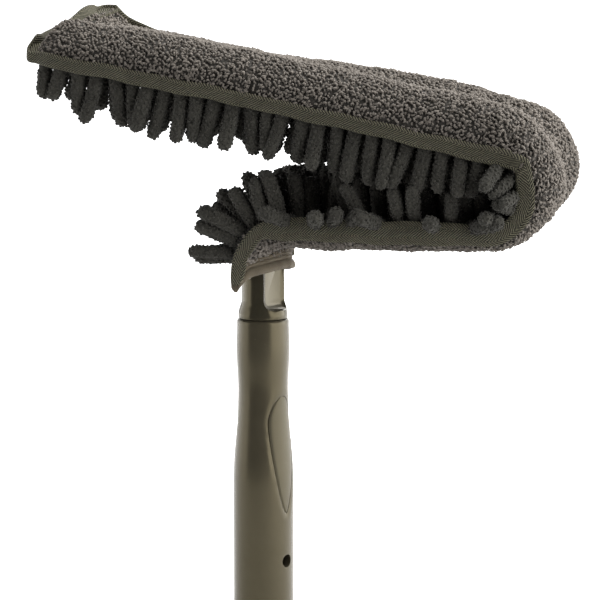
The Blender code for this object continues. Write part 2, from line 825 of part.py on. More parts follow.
def near_fullness(station):
    """How much fuller the near side is along the upper leg, most of all where it leaves the U."""
    past = station - U_BEND_END
    fade = 1 - NEAR_FADE * smooth(clamp((past - NEAR_FADE_START) / NEAR_FADE_RUN))
    leg = smooth(clamp((past - NEAR_RISE_START) / NEAR_RISE_RUN)) * fade
    shoulder = smooth(clamp(1 - abs(past - SHOULDER_MIDDLE) / SHOULDER_REACH))
    return 1 + NEAR_RISE * leg + SHOULDER_RISE * shoulder


def fullness(station, across):
    """The share of the full crown that the panel has at a place along and across it."""
    u_middle = (LOWER_END + U_BEND_END) / 2
    rise = smooth(clamp((station - u_middle) / (U_BEND_END - u_middle)))
    level = LOWER_FULLNESS + (1 - LOWER_FULLNESS) * rise
    near = smooth(clamp((NEAR_SIDE_END - across / PANEL_HALF_WIDTH) / NEAR_SIDE_RUN))
    level *= 1 + (near_fullness(station) - 1) * near
    leg_share = (station - U_BEND_END) / UPPER_LENGTH
    fall = smooth(clamp((leg_share - FAR_FALL_START) / FAR_FALL_RUN))
    side = (across / PANEL_HALF_WIDTH - FAR_SIDE_START) / (1 + FAR_SIDE_START)
    return level * (1 - (1 - FAR_FULLNESS) * fall * smooth(clamp(side)))


def foam_share(station, across):
    """The share of its full height that the foam keeps under the panel's inner wall."""
    room = PANEL_CROWN * fullness(station, across) - PANEL_THICKNESS
    return room / (PANEL_CROWN - PANEL_THICKNESS)


def crown_outline(station, half, inset):
    """A flat-topped arch from its right foot to its left one, as (across, out)."""
    crown = PANEL_CROWN * crown_share(station) - GAP
    dip = PANEL_DIP * crown_share(station)
    points = []
    for i in range(SECTION_STEPS + 1):
        angle = math.pi * i / SECTION_STEPS
        across = half * math.copysign(abs(math.cos(angle)) ** PANEL_SIDE_POWER, math.cos(angle))
        height = max(0.0, crown * fullness(station, across) - inset)
        out = height * math.sin(angle) ** PANEL_TOP_POWER
        near_middle = clamp(1 - abs(across) / PANEL_DIP_REACH)
        points.append((across, GAP + max(0.0, out - dip * smooth(near_middle))))
    return points


def panel_outline(station):
    """The terry panel's section: an arch with a wall of even thickness."""
    half = half_width(PANEL_HALF_WIDTH, station)
    outer = crown_outline(station, half, 0.0)
    inner = crown_outline(station, half - PANEL_THICKNESS, PANEL_THICKNESS)
    return outer + inner[::-1]


def make_panel(name, stations):
    return swept(name, panel_outline, stations, "terry")


def tape_outline(side, station):
    inner = half_width(PANEL_HALF_WIDTH, station) + GAP
    outer = inner + TAPE_THICKNESS
    points = [
        (inner, -TAPE_BELOW),
        (inner, TAPE_ABOVE),
        (outer - TAPE_ROUND, TAPE_ABOVE),
        (outer, TAPE_ABOVE - TAPE_ROUND),
        (outer, -TAPE_BELOW + TAPE_ROUND),
        (outer - TAPE_ROUND, -TAPE_BELOW),
    ]
    return [(side * a, o) for a, o in points]


def make_tape(name, side, stations):
    return swept(name, lambda station: tape_outline(side, station), stations, "edge_tape")


def make_tapes(stretch, stations):
    """The tapes along both edges of one stretch."""
    near = make_tape(f"binding_{stretch}_near", -1, stations)
    far = make_tape(f"binding_{stretch}_far", 1, stations)
    return [near, far]


def make_end_tape():
    """The tape that lies flat past the closed end, with rounded corners."""
    frame = frame_at(ROUTE_END)
    half = half_width(PANEL_HALF_WIDTH, ROUTE_END) + GAP + TAPE_THICKNESS
    middle = (TAPE_ABOVE - TAPE_BELOW) / 2
    sections = []
    for share, draw in END_TAPE_CORNER:
        depth = GAP + END_TAPE_WIDTH * share
        sections.append(slab_corners(frame, half - draw, middle, TAPE_THICKNESS / 2, depth))
    return add_object("binding_end", loft_mesh(sections), "edge_tape")


def bulge(station, across):
    """How far the pad stands back from the tape plane to pass the neck and its knuckles."""
    fade = clamp(1 - station / MOUTH_BULGE_RUN)
    relief = KNUCKLE_RELIEF * smooth(clamp((NECK_BEND_END - station) / KNUCKLE_RELIEF_FADE))
    spread = clamp(1 - (across / MOUTH_BULGE_HALF_WIDTH) ** 2)
    return -(MOUTH_BULGE * fade * fade + relief) * spread * spread


def pad_point(station, across, out):
    return frame_at(station).at(across, out + bulge(station, across))


def fold_room(frame):
    """The distance along a finger to the plane half way between the two legs."""
    bend_start = frame_at(LOWER_END)
    centre = bend_start.at(0, -U_BEND_RADIUS)
    half_turn = Matrix.Rotation(U_BEND_ANGLE / 2, 3, bend_start.across)
    normal = half_turn @ bend_start.along
    finger = -frame.out
    toward = finger.dot(normal)
    if abs(toward) < LEAST_FACING:
        return FINGER_LENGTH
    return (centre - frame.point).dot(normal) / toward


def finger_reach(station):
    """The length of a finger from the tape plane: full, or what the fold leaves it."""
    if LOWER_END < station < U_BEND_END:
        return U_FINGER_LENGTH + PAD_THICKNESS
    if station < NECK_BEND_END:
        return FINGER_LENGTH
    return min(FINGER_LENGTH, fold_room(frame_at(station)) - TIP_CLEARANCE)


def crowding(station, depth):
    """The share of a finger's width that is left where the pad bends round its tips."""
    if not LOWER_END < station < U_BEND_END:
        return 1.0
    return clamp(1 - depth / (U_BEND_RADIUS - PAD_THICKNESS))


def finger_rings(bm, station, across, pitch, scatter):
    """The shoulder and tip rings of one finger, tilted out from the middle of the pad."""
    frame = frame_at(station)
    tilt = FAN_TILT * across / PAD_HALF_WIDTH
    lean = FINGER_LEAN * scatter.uniform(-1, 1)
    if LOWER_END < station < U_BEND_END:
        lean = 0.0
    direction = (-frame.out * math.cos(tilt) + frame.across * math.sin(tilt)).normalized()
    direction = Matrix.Rotation(lean, 3, frame.across) @ direction
    side = frame.across * math.cos(tilt) + frame.out * math.sin(tilt)
    forward = side.cross(direction).normalized()
    root = pad_point(station, across, -PAD_THICKNESS)
    length = finger_reach(station) - PAD_THICKNESS
    length *= 1 - FINGER_SCATTER * scatter.random()
    rings = []
    for share, taper in ((FINGER_SHOULDER, FINGER_TAPER), (1.0, FINGER_TIP)):
        depth = length * share
        half = FINGER_WIDTH * taper / 2
        half_forward = min(half, crowding(station, depth) * pitch / 2 - GAP * 1.5)
        ring = []
        for f, s in SQUARE:
            corner = root + direction * depth + forward * (f * half_forward) + side * (s * half)
            ring.append(bm.verts.new(corner))
        rings.append(ring)
    return rings


def pad_row(bm, station, count, out):
    """A row of vertices across the pad at one station."""
    half = half_width(PAD_HALF_WIDTH, station)
    places = [half * (2 * j / count - 1) for j in range(count + 1)]
    return [bm.verts.new(pad_point(station, across, out)) for across in places]


def finger_root(bm, station, across, pitch):
    """The four corners of a finger's foot on the pad's front."""
    reach = FINGER_WIDTH / 2
    along_reach = min(reach, pitch * FINGER_ROOT_SHARE)
    root = []
    for along, side in SQUARE:
        place = pad_point(station + along * along_reach, across + side * reach, -PAD_THICKNESS)
        root.append(bm.verts.new(place))
    return root


def cell_faces(bm, left, right, root):
    """The pad's front round one finger's foot, between two columns of three vertices."""
    a, b, c = left
    d, e, f = right
    bm.faces.new((a, d, root[1], root[0]))
    bm.faces.new((c, root[3], root[2], f))
    bm.faces.new((a, root[0], b))
    bm.faces.new((b, root[0], root[3]))
    bm.faces.new((b, root[3], c))
    bm.faces.new((d, e, root[1]))
    bm.faces.new((e, root[2], root[1]))
    bm.faces.new((e, f, root[2]))


def make_finger_pad(name, start, stop, rows, seed):
    """A backing slab whose front grows staggered rows of square fingers with domed tips."""
    scatter = random.Random(seed)
    bm = bmesh.new()
    pitch = (stop - start) / rows
    lines = [start + pitch * k / 2 for k in range(2 * rows + 1)]
    back_columns = PAD_COLUMNS if start < NECK_BEND_END else 1
    front = [pad_row(bm, station, PAD_COLUMNS, -PAD_THICKNESS) for station in lines]
    back = [pad_row(bm, station, back_columns, 0) for station in lines]
    ring_faces(bm, back, closed_rings=False)
    for k in range(2 * rows):
        for end in (0, -1):
            bm.faces.new((front[k][end], front[k + 1][end], back[k + 1][end], back[k][end]))
    for k in (0, -1):
        bm.faces.new([*front[k], *reversed(back[k])])

    for j in range(PAD_COLUMNS):
        odd = j % 2
        if odd:
            for k in (0, 2 * rows - 1):
                bm.faces.new((front[k][j], front[k][j + 1], front[k + 1][j + 1], front[k + 1][j]))
        for i in range(rows - odd):
            k = 2 * i + odd
            station = lines[k + 1]
            across = half_width(PAD_HALF_WIDTH, station) * ((2 * j + 1) / PAD_COLUMNS - 1)
            root = finger_root(bm, station, across, pitch)
            left = [front[k + step][j] for step in range(3)]
            right = [front[k + step][j + 1] for step in range(3)]
            cell_faces(bm, left, right, root)
            rings = [root, *finger_rings(bm, station, across, pitch, scatter)]
            ring_faces(bm, rings)
            bm.faces.new(rings[-1])
    return add_object(name, bm, "chenille")


def hem_outline(grow):
    """Lens-shaped outline round the neck: pinched at the edge tapes, fuller to the front."""
    points = []
    half = HEM_HALF_WIDTH + grow
    for i in range(HEM_STEPS):
        angle = 2 * math.pi * i / HEM_STEPS
        y = half * math.sin(angle)
        depth = HEM_FRONT if math.cos(angle) > 0 else -HEM_BACK
        pinch = 1 - abs(y / half) ** HEM_POWER
        x = depth * pinch + math.copysign(grow, depth) * abs(math.cos(angle))
        if abs(math.cos(angle)) < 1e-6:
            x = 0.0
        points.append((x, y))
    return points


def make_hem():
    """A folded band with two ridges round the sleeve's mouth."""
    low = SLEEVE_START_HEIGHT - GAP - HEM_HEIGHT
    bm = bmesh.new()
    rings = []
    for share, ridge in HEM_LINES:
        outline = hem_outline(HEM_THICKNESS + ridge * HEM_RIDGE)
        height = low + HEM_HEIGHT * share
        rings.append([bm.verts.new((x, y, height)) for x, y in outline])
    for share in (1, 0):
        rings.append([bm.verts.new((x, y, low + HEM_HEIGHT * share)) for x, y in hem_outline(0)])
    ring_faces(bm, rings + rings[:1])
    return add_object("sleeve_hem", bm, "hem_cloth", True)


def root_strip_low():
    return ROOT_SLOT_FLOOR + GAP


def make_root_strip(neck_hinge):
    """The strip's fixed root, upright in the neck's slot, run on to the first hinge."""
    upright = Vector((0, 0, 1))
    across = Vector((0, 1, 0))
    start = Frame(Vector((0, 0, root_strip_low())), upright, across)
    stop = Frame(Vector((0, 0, neck_hinge.point.z)), upright, across)
    places = [(start, STRIP_OUT, 0), (stop, STRIP_OUT, 0)]
    return make_link("spine_root", places, None, neck_hinge)


def make_wires(stretch, stations, root_depth=0.0):
    """The wires on both sides of the strip along one stretch."""
    near = make_wire(f"wire_{stretch}_near", stations, -WIRE_ACROSS, root_depth)
    far = make_wire(f"wire_{stretch}_far", stations, WIRE_ACROSS, root_depth)
    return [near, far]


def build_handle(neck_hinge):
    """What the hand holds, and what is fixed to it: nothing here moves."""
    make_grip()
    neck = make_neck()
    make_neck_screw()
    make_hem()
    make_spine_pin(neck, make_root_strip(neck_hinge))


def build_neck_stretch(hinges):
    """What bends between the neck and the lower leg."""
    stations = [0.0, *bend_stations(NECK_BEND_START, NECK_BEND_END - JOIN, NECK_BEND_RADIUS)]
    links = bend_links("spine_neck", hinges)
    wires = make_wires("neck", stations, SLEEVE_START_HEIGHT - root_strip_low())
    panel = make_panel("terry_neck", stations)
    pad = make_finger_pad("fingers_neck", 0.0, NECK_BEND_END - JOIN, NECK_ROWS, 1)
    return [*links, *wires, panel, *make_tapes("neck", stations), pad]


def build_lower_leg(near_hinge, far_hinge, channel_top):
    """The straight leg from the neck to the U bend."""
    start = NECK_BEND_END + JOIN
    stop = LOWER_END - JOIN
    stations = leg_stations(start, stop)
    strip = leg_strip("spine_lower", NECK_BEND_END, LOWER_END, near_hinge, far_hinge)
    foam = make_foam("foam_lower", stations, channel_top)
    panel = make_panel("terry_lower", stations)
    pad = make_finger_pad("fingers_lower", start, stop, LOWER_ROWS, 2)
    wires = make_wires("lower", stations)
    return [strip, *wires, foam, panel, *make_tapes("lower", stations), pad]


def build_u_bend():
    """The sleeve and its filling round the U bend."""
    start = LOWER_END + JOIN
    stop = U_BEND_END - JOIN
    stations = bend_stations(start, stop, U_BEND_RADIUS)
    hinge_radius = (U_BEND_RADIUS + STRIP_OUT) / math.cos(U_BEND_ANGLE / U_HINGES / 2)
    channel_top = hinge_radius - U_BEND_RADIUS + KNUCKLE_RADIUS + GAP
    foam = make_foam("foam_bend", stations, channel_top)
    panel = make_panel("terry_bend", stations)
    pad = make_finger_pad("fingers_bend", start, stop, U_ROWS, 3)
    return [foam, panel, *make_tapes("bend", stations), pad, *make_wires("bend", stations)]


def build_upper_leg(near_hinge, channel_top):
    """The long leg from the U bend to the sleeve's closed end."""
    start = U_BEND_END + JOIN
    taper_stations = [ROUTE_END - CROWN_TAPER * share for share in TAPER_SHARES]
    stations = leg_stations(start, ROUTE_END - CROWN_TAPER) + taper_stations
    strip = leg_strip("spine_upper", U_BEND_END, STRIP_END, near_hinge, None)
    cap = make_tip_cap()
    wires = make_wires("upper", leg_stations(start, STRIP_END))
    foam_stations = leg_stations(start, STRIP_END - TIP_CAP_DEPTH - GAP)
    foam = make_foam("foam_upper", foam_stations, channel_top)
    panel = make_panel("terry_upper", stations)
    pad = make_finger_pad("fingers_upper", start, ROUTE_END, UPPER_ROWS, 4)
    tapes = make_tapes("upper", stations)
    return [strip, cap, *wires, foam, panel, *tapes, make_end_tape(), pad]


def build_head(neck_hinges, u_hinges):
    """The bendable head, each moving group hung on an empty on its hinge's axis."""
    leg_channel = STRIP_OUT + STRIP_THICKNESS / 2 + GAP
    neck_axes = [empty_on_axis(f"axis_neck_{i + 1}", f) for i, f in enumerate(neck_hinges)]
    u_axes = [empty_on_axis(f"axis_bend_{i + 1}", f) for i, f in enumerate(u_hinges)]
    chain = neck_axes + u_axes
    for parent, child in zip(chain, chain[1:]):
        carry(parent, child)
    carry(neck_axes[0], *build_neck_stretch(neck_hinges))
    carry(neck_axes[-1], *build_lower_leg(neck_hinges[-1], u_hinges[0], leg_channel))
    for axis, link in zip(u_axes, bend_links("spine_bend", u_hinges)):
        carry(axis, link)
    carry(u_axes[1], *build_u_bend())
    carry(u_axes[-1], *build_upper_leg(u_hinges[-1], leg_channel))


def clear_scene():
    for old in list(bpy.data.objects):
        bpy.data.objects.remove(old)


def build():
    clear_scene()
    neck_hinges = hinge_frames(NECK_BEND_START, NECK_BEND_RADIUS, NECK_BEND_ANGLE, NECK_HINGES)
    u_hinges = hinge_frames(LOWER_END, U_BEND_RADIUS, U_BEND_ANGLE, U_HINGES)
    build_handle(neck_hinges[0])
    build_head(neck_hinges, u_hinges)


build()
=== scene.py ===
# Ceiling fan duster: looks for the handle, the bendable head and its microfibre sleeve.
# Metres, +Z up the handle, origin at the centre of the pole socket's mouth.

import math
import random

import bmesh
import bpy
from mathutils import Matrix, Vector


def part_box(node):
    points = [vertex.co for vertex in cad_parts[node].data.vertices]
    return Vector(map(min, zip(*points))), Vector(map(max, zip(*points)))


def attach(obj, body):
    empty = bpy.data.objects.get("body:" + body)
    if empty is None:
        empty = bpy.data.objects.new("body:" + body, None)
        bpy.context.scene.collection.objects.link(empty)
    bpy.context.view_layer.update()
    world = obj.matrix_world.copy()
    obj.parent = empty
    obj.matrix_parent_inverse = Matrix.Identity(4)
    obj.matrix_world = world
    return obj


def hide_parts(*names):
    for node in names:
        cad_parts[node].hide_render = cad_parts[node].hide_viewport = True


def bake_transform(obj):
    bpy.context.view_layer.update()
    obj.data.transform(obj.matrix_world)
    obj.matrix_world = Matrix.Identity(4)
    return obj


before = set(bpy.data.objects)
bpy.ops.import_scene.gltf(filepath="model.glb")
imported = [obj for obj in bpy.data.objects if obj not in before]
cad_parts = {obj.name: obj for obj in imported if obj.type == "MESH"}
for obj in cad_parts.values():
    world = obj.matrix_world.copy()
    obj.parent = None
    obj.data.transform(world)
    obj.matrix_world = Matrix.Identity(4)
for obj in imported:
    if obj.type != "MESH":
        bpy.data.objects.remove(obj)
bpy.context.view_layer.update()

# Grip
GRIP_LENGTH = 0.187
GRIP_EDGE = 0.0014
GRIP_RINGS = ((0.0, 0.0177), (0.090, 0.0177), (0.146, 0.0147), (0.169, 0.0156), (0.187, 0.0152))
SOCKET_RADIUS = 0.0127
SOCKET_DEPTH = 0.112
SOCKET_CONE = 0.004
RELIEF_RADIUS = 0.0090
WEB_HEIGHT = 0.150
WEB_THICKNESS = 0.006
SCREW_HOLE_RADIUS = 0.0023
PLUG_RADIUS = 0.0113
PLUG_GAP = 0.0003
HANDLE_TURN = math.radians(-18)
BUTTON_HEIGHT = 0.045
BUTTON_HOLE_RADIUS = 0.0038

# Leaf inlays
LEAF_TOP = 0.1425
LEAF_BOTTOM = 0.0735
LEAF_HALF_WIDTH = 0.0098
LEAF_WIDEST = 0.25
LEAF_HEAD_POWER = 0.5
LEAF_TAIL_POWER = 0.65
LEAF_DIP = 0.0006
LEAF_DIP_REACH = 0.0030
LEAF_ZONE = 0.006
INNER_SKIN = 0.0012
LEAF_RECESS = 0.0012
LEAF_GAP = 0.00025
RECESS_REACH = (0.006, 0.022)
INLAY_SUNK = 0.0003
INLAY_RIM_DROP = 0.00045
INLAY_RIM = 0.0009
INLAY_BED = 0.0002
BUTTON_HOLE_DEPTH = 0.016

# Neck
SEAM_HEIGHT = 0.1873
NECK_FLARE_RADIUS = 0.0145
NECK_RADIUS = 0.0126
FLARE_LIP = 0.0022
FLARE_HEIGHT = 0.011
NECK_TOP = 0.2192
FLAT_HALF_THICKNESS = 0.0072
FLAT_BOTTOM = 0.1925
FLAT_FILLET = 0.0062
SCOOP_DEPTH = 0.020
SCREW_BORE_RADIUS = 0.0020
SCREW_BORE_DEPTH = 0.018
STRIP_SLOT_ROOM = 0.0006
WIRE_HOLE_RADIUS = 0.0013
PIN_HOLE_RADIUS = 0.0017
PIN_HOLE_LENGTH = 0.030

# Route of the head, from the sleeve's mouth to its closed end
SLEEVE_START_HEIGHT = 0.2198
NECK_BEND_START = 0.0062
NECK_BEND_RADIUS = 0.0184
NECK_BEND_ANGLE = math.radians(87)
LOWER_LENGTH = 0.128
LOWER_TWIST = math.radians(9)
U_BEND_RADIUS = 0.0215
U_BEND_ANGLE = math.radians(-163.5)
UPPER_LENGTH = 0.266
UPPER_BOW = math.radians(-3)
UPPER_TWIST = math.radians(-6)

NECK_BEND_LENGTH = NECK_BEND_ANGLE * NECK_BEND_RADIUS
U_BEND_LENGTH = abs(U_BEND_ANGLE) * U_BEND_RADIUS
NECK_BEND_END = NECK_BEND_START + NECK_BEND_LENGTH
LOWER_END = NECK_BEND_END + LOWER_LENGTH
U_BEND_END = LOWER_END + U_BEND_LENGTH
ROUTE_END = U_BEND_END + UPPER_LENGTH

# Each bend's start, length and number of hinges
BENDS = {"neck_bend": (NECK_BEND_START, NECK_BEND_LENGTH, 2), "u_bend": (LOWER_END, U_BEND_LENGTH, 4)}
SIDES = ((-1, "near"), (1, "far"))

# Spine wires
WIRE_RADIUS = 0.0010
WIRE_ACROSS = 0.0076
STRIP_OUT = 0.0030
WIRE_ROOT_DEPTH = 0.019
SPINE_TIP_INSET = 0.030

# Foam's section, half of it: the groove over the spine, and the rounded shoulder
FOAM_HEIGHT = 0.0110
FOAM_GROOVE = ((0.0095, 0.0068), (0.0095, 0.0006), (0.0335, 0.0006))
FOAM_SHOULDER = ((0.0345, 0.0016), (0.0345, 0.0056), (0.0330, 0.0080), (0.0290, 0.0100),
                 (0.0240, FOAM_HEIGHT))

# Terry panel
PANEL_HALF_WIDTH = 0.0420
PANEL_CROWN = 0.0172
PANEL_WALL = 0.0025
PANEL_FOOT = 0.0003
PANEL_DIP = 0.0044
PANEL_DIP_REACH = 0.024
PANEL_SIDE_POWER = 0.72
PANEL_TOP_POWER = 0.58
LOWER_FULLNESS = 0.74
CORNER_FULLNESS = 0.13
NOSE_FULLNESS = 0.14
FAR_FULLNESS = 0.31
FAR_FALL_START = 0.10
FAR_FALL_RUN = 0.60
FAR_SIDE_START = -0.15
NEAR_RISE = 0.26
NEAR_RISE_LEAD = 0.030
NEAR_RISE_RUN = 0.045
NEAR_FALL = 0.5
NEAR_FALL_START = 0.190
NEAR_FALL_RUN = 0.070
NEAR_SIDE_START = 0.25
NEAR_SIDE_RUN = 1.10
SHOULDER_RISE = 0.24
SHOULDER_PLACE = 0.006
SHOULDER_REACH = 0.070
PULL_PLACE = 0.30
PULL_REACH = 0.35
NOSE_PLACE = 0.53
NOSE_REACH = 0.26
LUMP_HEIGHT = 0.0006
PLEAT_HEIGHT = 0.00035
MOUTH_RUN = 0.016
CROWN_TAPER = 0.026
CROWN_AT_TIP = 0.20
FAR_CROWN_TAPER = 0.034
FAR_CROWN_AT_TIP = 0.20
FAR_TIP_START = -0.55
FAR_TIP_RUN = 0.5
CORNER_RUN = 0.014
CORNER_DRAW = 0.004
CURL_RISE = 0.0075
CURL_RUN = 0.032
FAR_CORNER_RISE = 0.0048
FAR_CORNER_RUN = 0.013
END_SLANT = 0.0141
NEAR_REACH = 0.0045
END_SLANT_RUN = 0.050
FAR_SAG = 0.0028
FAR_SAG_RUN = 0.128
FAR_SAG_EASE = 0.045
FAR_SAG_START = 0.30
FAR_SAG_WIDTH = 0.65
PANEL_RING = 24
BOTTOM_RING = 6
STATION_STEP = 0.0035
GATHER_PITCH = 0.0074
GATHER_DEPTH = 0.0012
BEND_STATION_STEP = 0.0016
PUFF_FRAMES = 16
PUFF_CAP = 0.0022

# Terry loops
PILE_SPACING = 0.00146
LOOP_HALF_SPAN = 0.00068
LOOP_SIDEWAYS = 0.00042
LOOP_HEIGHT = 0.00108
YARN_RADIUS = 0.00066
YARN_ROOT_RADIUS = 0.00050
LOOP_LEAN = 0.70
LOOP_SIZES = (0.70, 1.32)
POINTS_PER_AREA = 900000.0

# Finger pad
PAD_HALF_WIDTH = 0.0415
PAD_THICKNESS = 0.0020
PAD_COLUMNS = 7
BULGE_DEPTH = 0.0095
BULGE_RUN = 0.012
BULGE_HALF_WIDTH = 0.030
KNUCKLE_HEIGHT = 0.0009
KNUCKLE_RUN = 0.004
FINGER_RADIUS = 0.0039
FINGER_LENGTH = 0.0325
FAN_TILT = math.radians(18)
SQUEEZE_TILT = math.radians(50)
SPILLED_SHARE = 0.50
SPILLED_SIDE = 0.7
SPILLED_TILTS = (46, 64)
SPILLED_LEANS = (0.30, 1.25)
NEAR_SPILLED_REACH = 0.88
FAR_SPILLED_REACH = 0.74
FINGER_REACHES = (0.84, 1.05)
FINGER_GIRTHS = (0.94, 1.14)
FINGER_LEAST = 0.009
FINGER_CLEAR = 0.0012
TIP_FINGER_SHARE = 0.82
TIP_FINGER_RUN = 0.050
MOUTH_FINGER_SHARE = 0.88
MOUTH_FINGER_RUN = 0.020
BEND_FINGER_ROOM = 0.0135
BEND_FINGER_GIRTH = 0.90
FINGER_DROOP = 0.0030
TUFT_SPACING = 0.00178
TUFT_RADIUS = 0.00088
TUFT_SIZES = (0.75, 1.30)
FINGER_ROWS = ((0.004, NECK_BEND_END, 5), (NECK_BEND_END, LOWER_END, 13), (LOWER_END, U_BEND_END, 5),
               (U_BEND_END, ROUTE_END, 26))

# Tape and hem
TAPE_HALF_WIDTH = 0.0044
TAPE_NECK_GAIN = 0.0006
TAPE_LOWER_GAIN = 0.0015
TAPE_UPPER_LOSS = 0.0008
TAPE_THICKNESS = 0.0017
TAPE_MIDDLE = 0.0005
TAPE_GAP = 0.0003
NECK_TAPE_SHIFT = 0.0019
NEAR_TAIL = 0.0085
NECK_TAPE_TUCK = 0.0034
FAR_TAIL = 0.0015
TAIL_SLOPE = 0.0016
END_TAPE_WIDTH = 0.0078
END_CORNER_RADIUS = 0.0050
CORNER_PINCH = 0.26
CORNER_PINCH_REACH = 0.016
WEB_OVERHANG = 0.0012
WEB_LEAST = 0.001
WEB_TUCK = 0.0015
NEAR_END_TURN = math.radians(78)
FAR_END_TURN = math.radians(12)
FAR_END_LOW = 0.7
END_TURN_RUN = 0.010
KINK_PLACE = 0.78
KINK_REACH = math.radians(42)
KINK_RISE = 0.0050
CREASE_HEIGHT = 0.0011
CREASE_PITCH = 0.0046
HEM_HEIGHT = 0.0108
HEM_ROLLS = ((0.0, 0.52, 0.0024), (0.52, 0.74, 0.0014), (0.74, 0.90, 0.0011), (0.90, 1.0, 0.0005))
HEM_FRONT = 0.0132
HEM_BACK = 0.0112
HEM_HALF_WIDTH = 0.0400
HEM_POWER = 1.5
HEM_LEAN = 0.18
HEM_GIRTH = 0.19
HEM_WALL = 0.0010
HEM_DROP = 0.0032
HEM_CORNER_DROP = 0.0043
HEM_FAR_DROP = 0.0002
MOUTH_RISE = 0.0038
MOUTH_NEAR_FALL = 0.0031
MOUTH_CORNER_FALL = 0.0070
MOUTH_FAR_FALL = 0.0060

# Floor, backdrop and lamps
FLOOR_FRONT = -0.50
FLOOR_BACK = 1.2
FLOOR_HALF = 3.0
FLOOR_DROP = 0.0005
FLOOR_CLEAR = 0.35
FLOOR_FADE = 0.30
BACKDROP_CURVE = 0.8
BACKDROP_HEIGHT = 3.0
LAMP_TARGET = (0.02, 0, 0.20)
LAMPS = (
    ("top_lamp", 180, 80, 1.4, (1.1, 1.1), 22.0),
    ("left_lamp", -82, 5, 1.5, (2.2, 1.0), 18.0),
    ("right_lamp", 96, 14, 1.5, (2.8, 1.4), 55.0),
    ("back_lamp", 195, 35, 1.6, (1.2, 1.2), 12.0),
)

# Edges sharper than these stay sharp
SHARP_ANGLE = math.radians(50)
TAPE_SHARP_ANGLE = math.radians(60)

# Photograph's camera
CAMERA_AZIMUTH = math.radians(20)
CAMERA_ELEVATION = math.radians(7.5)
CAMERA_DISTANCE = 1.2
CAMERA_LENS = 123.8
VIEW_HEIGHT = 0.187
VIEW_RIGHT = 0.0215
VIEW_UP = 0.0105


def clamp(value):
    """The value kept between 0 and 1."""
    return min(1.0, max(0.0, value))


def smooth(share):
    """Eases from 0 to 1, level at both ends."""
    share = clamp(share)
    return share * share * (3 - 2 * share)


def mix(low, high, share):
    """The value at a share of the way from low to high."""
    return low + (high - low) * share


def eased(value, start, run):
    """Eases from 0 to 1 while the value passes through a run from start."""
    return smooth((value - start) / run)


def hump(distance, reach):
    """Falls smoothly from 1 at no distance to 0 at reach."""
    return smooth(1 - abs(distance) / reach)


def quarter_turn(steps, first=0):
    """Angles from 0 to a right angle, from the first step on."""
    return [math.pi / 2 * i / steps for i in range(first, steps + 1)]


# Node trees

class Wire:
    """An output of a node that takes part in plain arithmetic."""

    def __init__(self, graph, socket):
        self.graph = graph
        self.socket = socket

    def _math(self, operation, first, second):
        return self.graph.node("ShaderNodeMath", {"operation": operation}, {0: first, 1: second})

    def also(self, output):
        """Another output of the same node."""
        return Wire(self.graph, self.socket.node.outputs[output])

    def __add__(self, other):
        return self._math("ADD", self, other)

    def __radd__(self, other):
        return self._math("ADD", other, self)

    def __sub__(self, other):
        return self._math("SUBTRACT", self, other)

    def __rsub__(self, other):
        return self._math("SUBTRACT", other, self)

    def __mul__(self, other):
        return self._math("MULTIPLY", self, other)

    def __rmul__(self, other):
        return self._math("MULTIPLY", other, self)

    def __truediv__(self, other):
        return self._math("DIVIDE", self, other)

    def call(self, operation, other=0.0):
        return self._math(operation, self, other)


class Graph:
    """A node tree whose nodes are set and linked as they are made."""

    def __init__(self, tree):
        self.tree = tree

    def node(self, kind, settings=None, inputs=None, output=0):
        """Adds a node and gives one of its outputs. A list of wires joins at one input."""
        made = self.tree.nodes.new(kind)
        for name, value in (settings or {}).items():
            if name == "stops":
                ramp = made.color_ramp
                for i, (place, color) in enumerate(value):
                    stop = ramp.elements[i] if i < 2 else ramp.elements.new(place)
                    stop.position = place
                    stop.color = (*color, 1.0)
            else:
                setattr(made, name, value)
        for key, value in (inputs or {}).items():
            socket = made.inputs[key]
            wires = value if isinstance(value, list) else [value]
            for wire in wires:
                if isinstance(wire, Wire):
                    self.tree.links.new(wire.socket, socket)
                else:
                    socket.default_value = wire
        return Wire(self, made.outputs[output])

    def blend(self, share, first, second):
        """A colour at a share of the way from first to second."""
        sockets = {"Factor": share, 6: (*first, 1.0) if isinstance(first, tuple) else first,
                   7: (*second, 1.0) if isinstance(second, tuple) else second}
        return self.node("ShaderNodeMix", {"data_type": "RGBA"}, sockets, output=2)


class Finish(Graph):
    """A material built from expressions, ending in one Principled shader."""

    def __init__(self, name, roughness, metallic=0.0, **constants):
        self.material = bpy.data.materials.new(name)
        self.material.use_nodes = True
        super().__init__(self.material.node_tree)
        self.shader = self.tree.nodes["Principled BSDF"]
        self.shader.inputs["Roughness"].default_value = roughness
        self.shader.inputs["Metallic"].default_value = metallic
        for socket, value in constants.items():
            self.shader.inputs[socket.replace("_", " ")].default_value = value

    def place(self):
        return self.node("ShaderNodeTexCoord", output="Object")

    def uv(self):
        return self.node("ShaderNodeTexCoord", output="UV")

    def axis(self, vector, index):
        return self.node("ShaderNodeSeparateXYZ", inputs={0: vector}, output=index)

    def noise(self, vector, scale, detail=3.0, roughness=0.55):
        return self.node(
            "ShaderNodeTexNoise",
            inputs={"Vector": vector, "Scale": scale, "Detail": detail, "Roughness": roughness},
        )

    def cells(self, vector, scale):
        return self.node("ShaderNodeTexVoronoi", inputs={"Vector": vector, "Scale": scale})

    def ramp(self, value, stops):
        return self.node("ShaderNodeValToRGB", {"stops": stops}, {0: value})

    def bump(self, height, distance, strength=1.0):
        return self.node(
            "ShaderNodeBump", inputs={"Height": height, "Distance": distance, "Strength": strength}
        )

    def wear(self, **channels):
        """Links the shader's varying channels."""
        for name, value in channels.items():
            self.tree.links.new(value.socket, self.shader.inputs[name.replace("_", " ")])
        return self.material


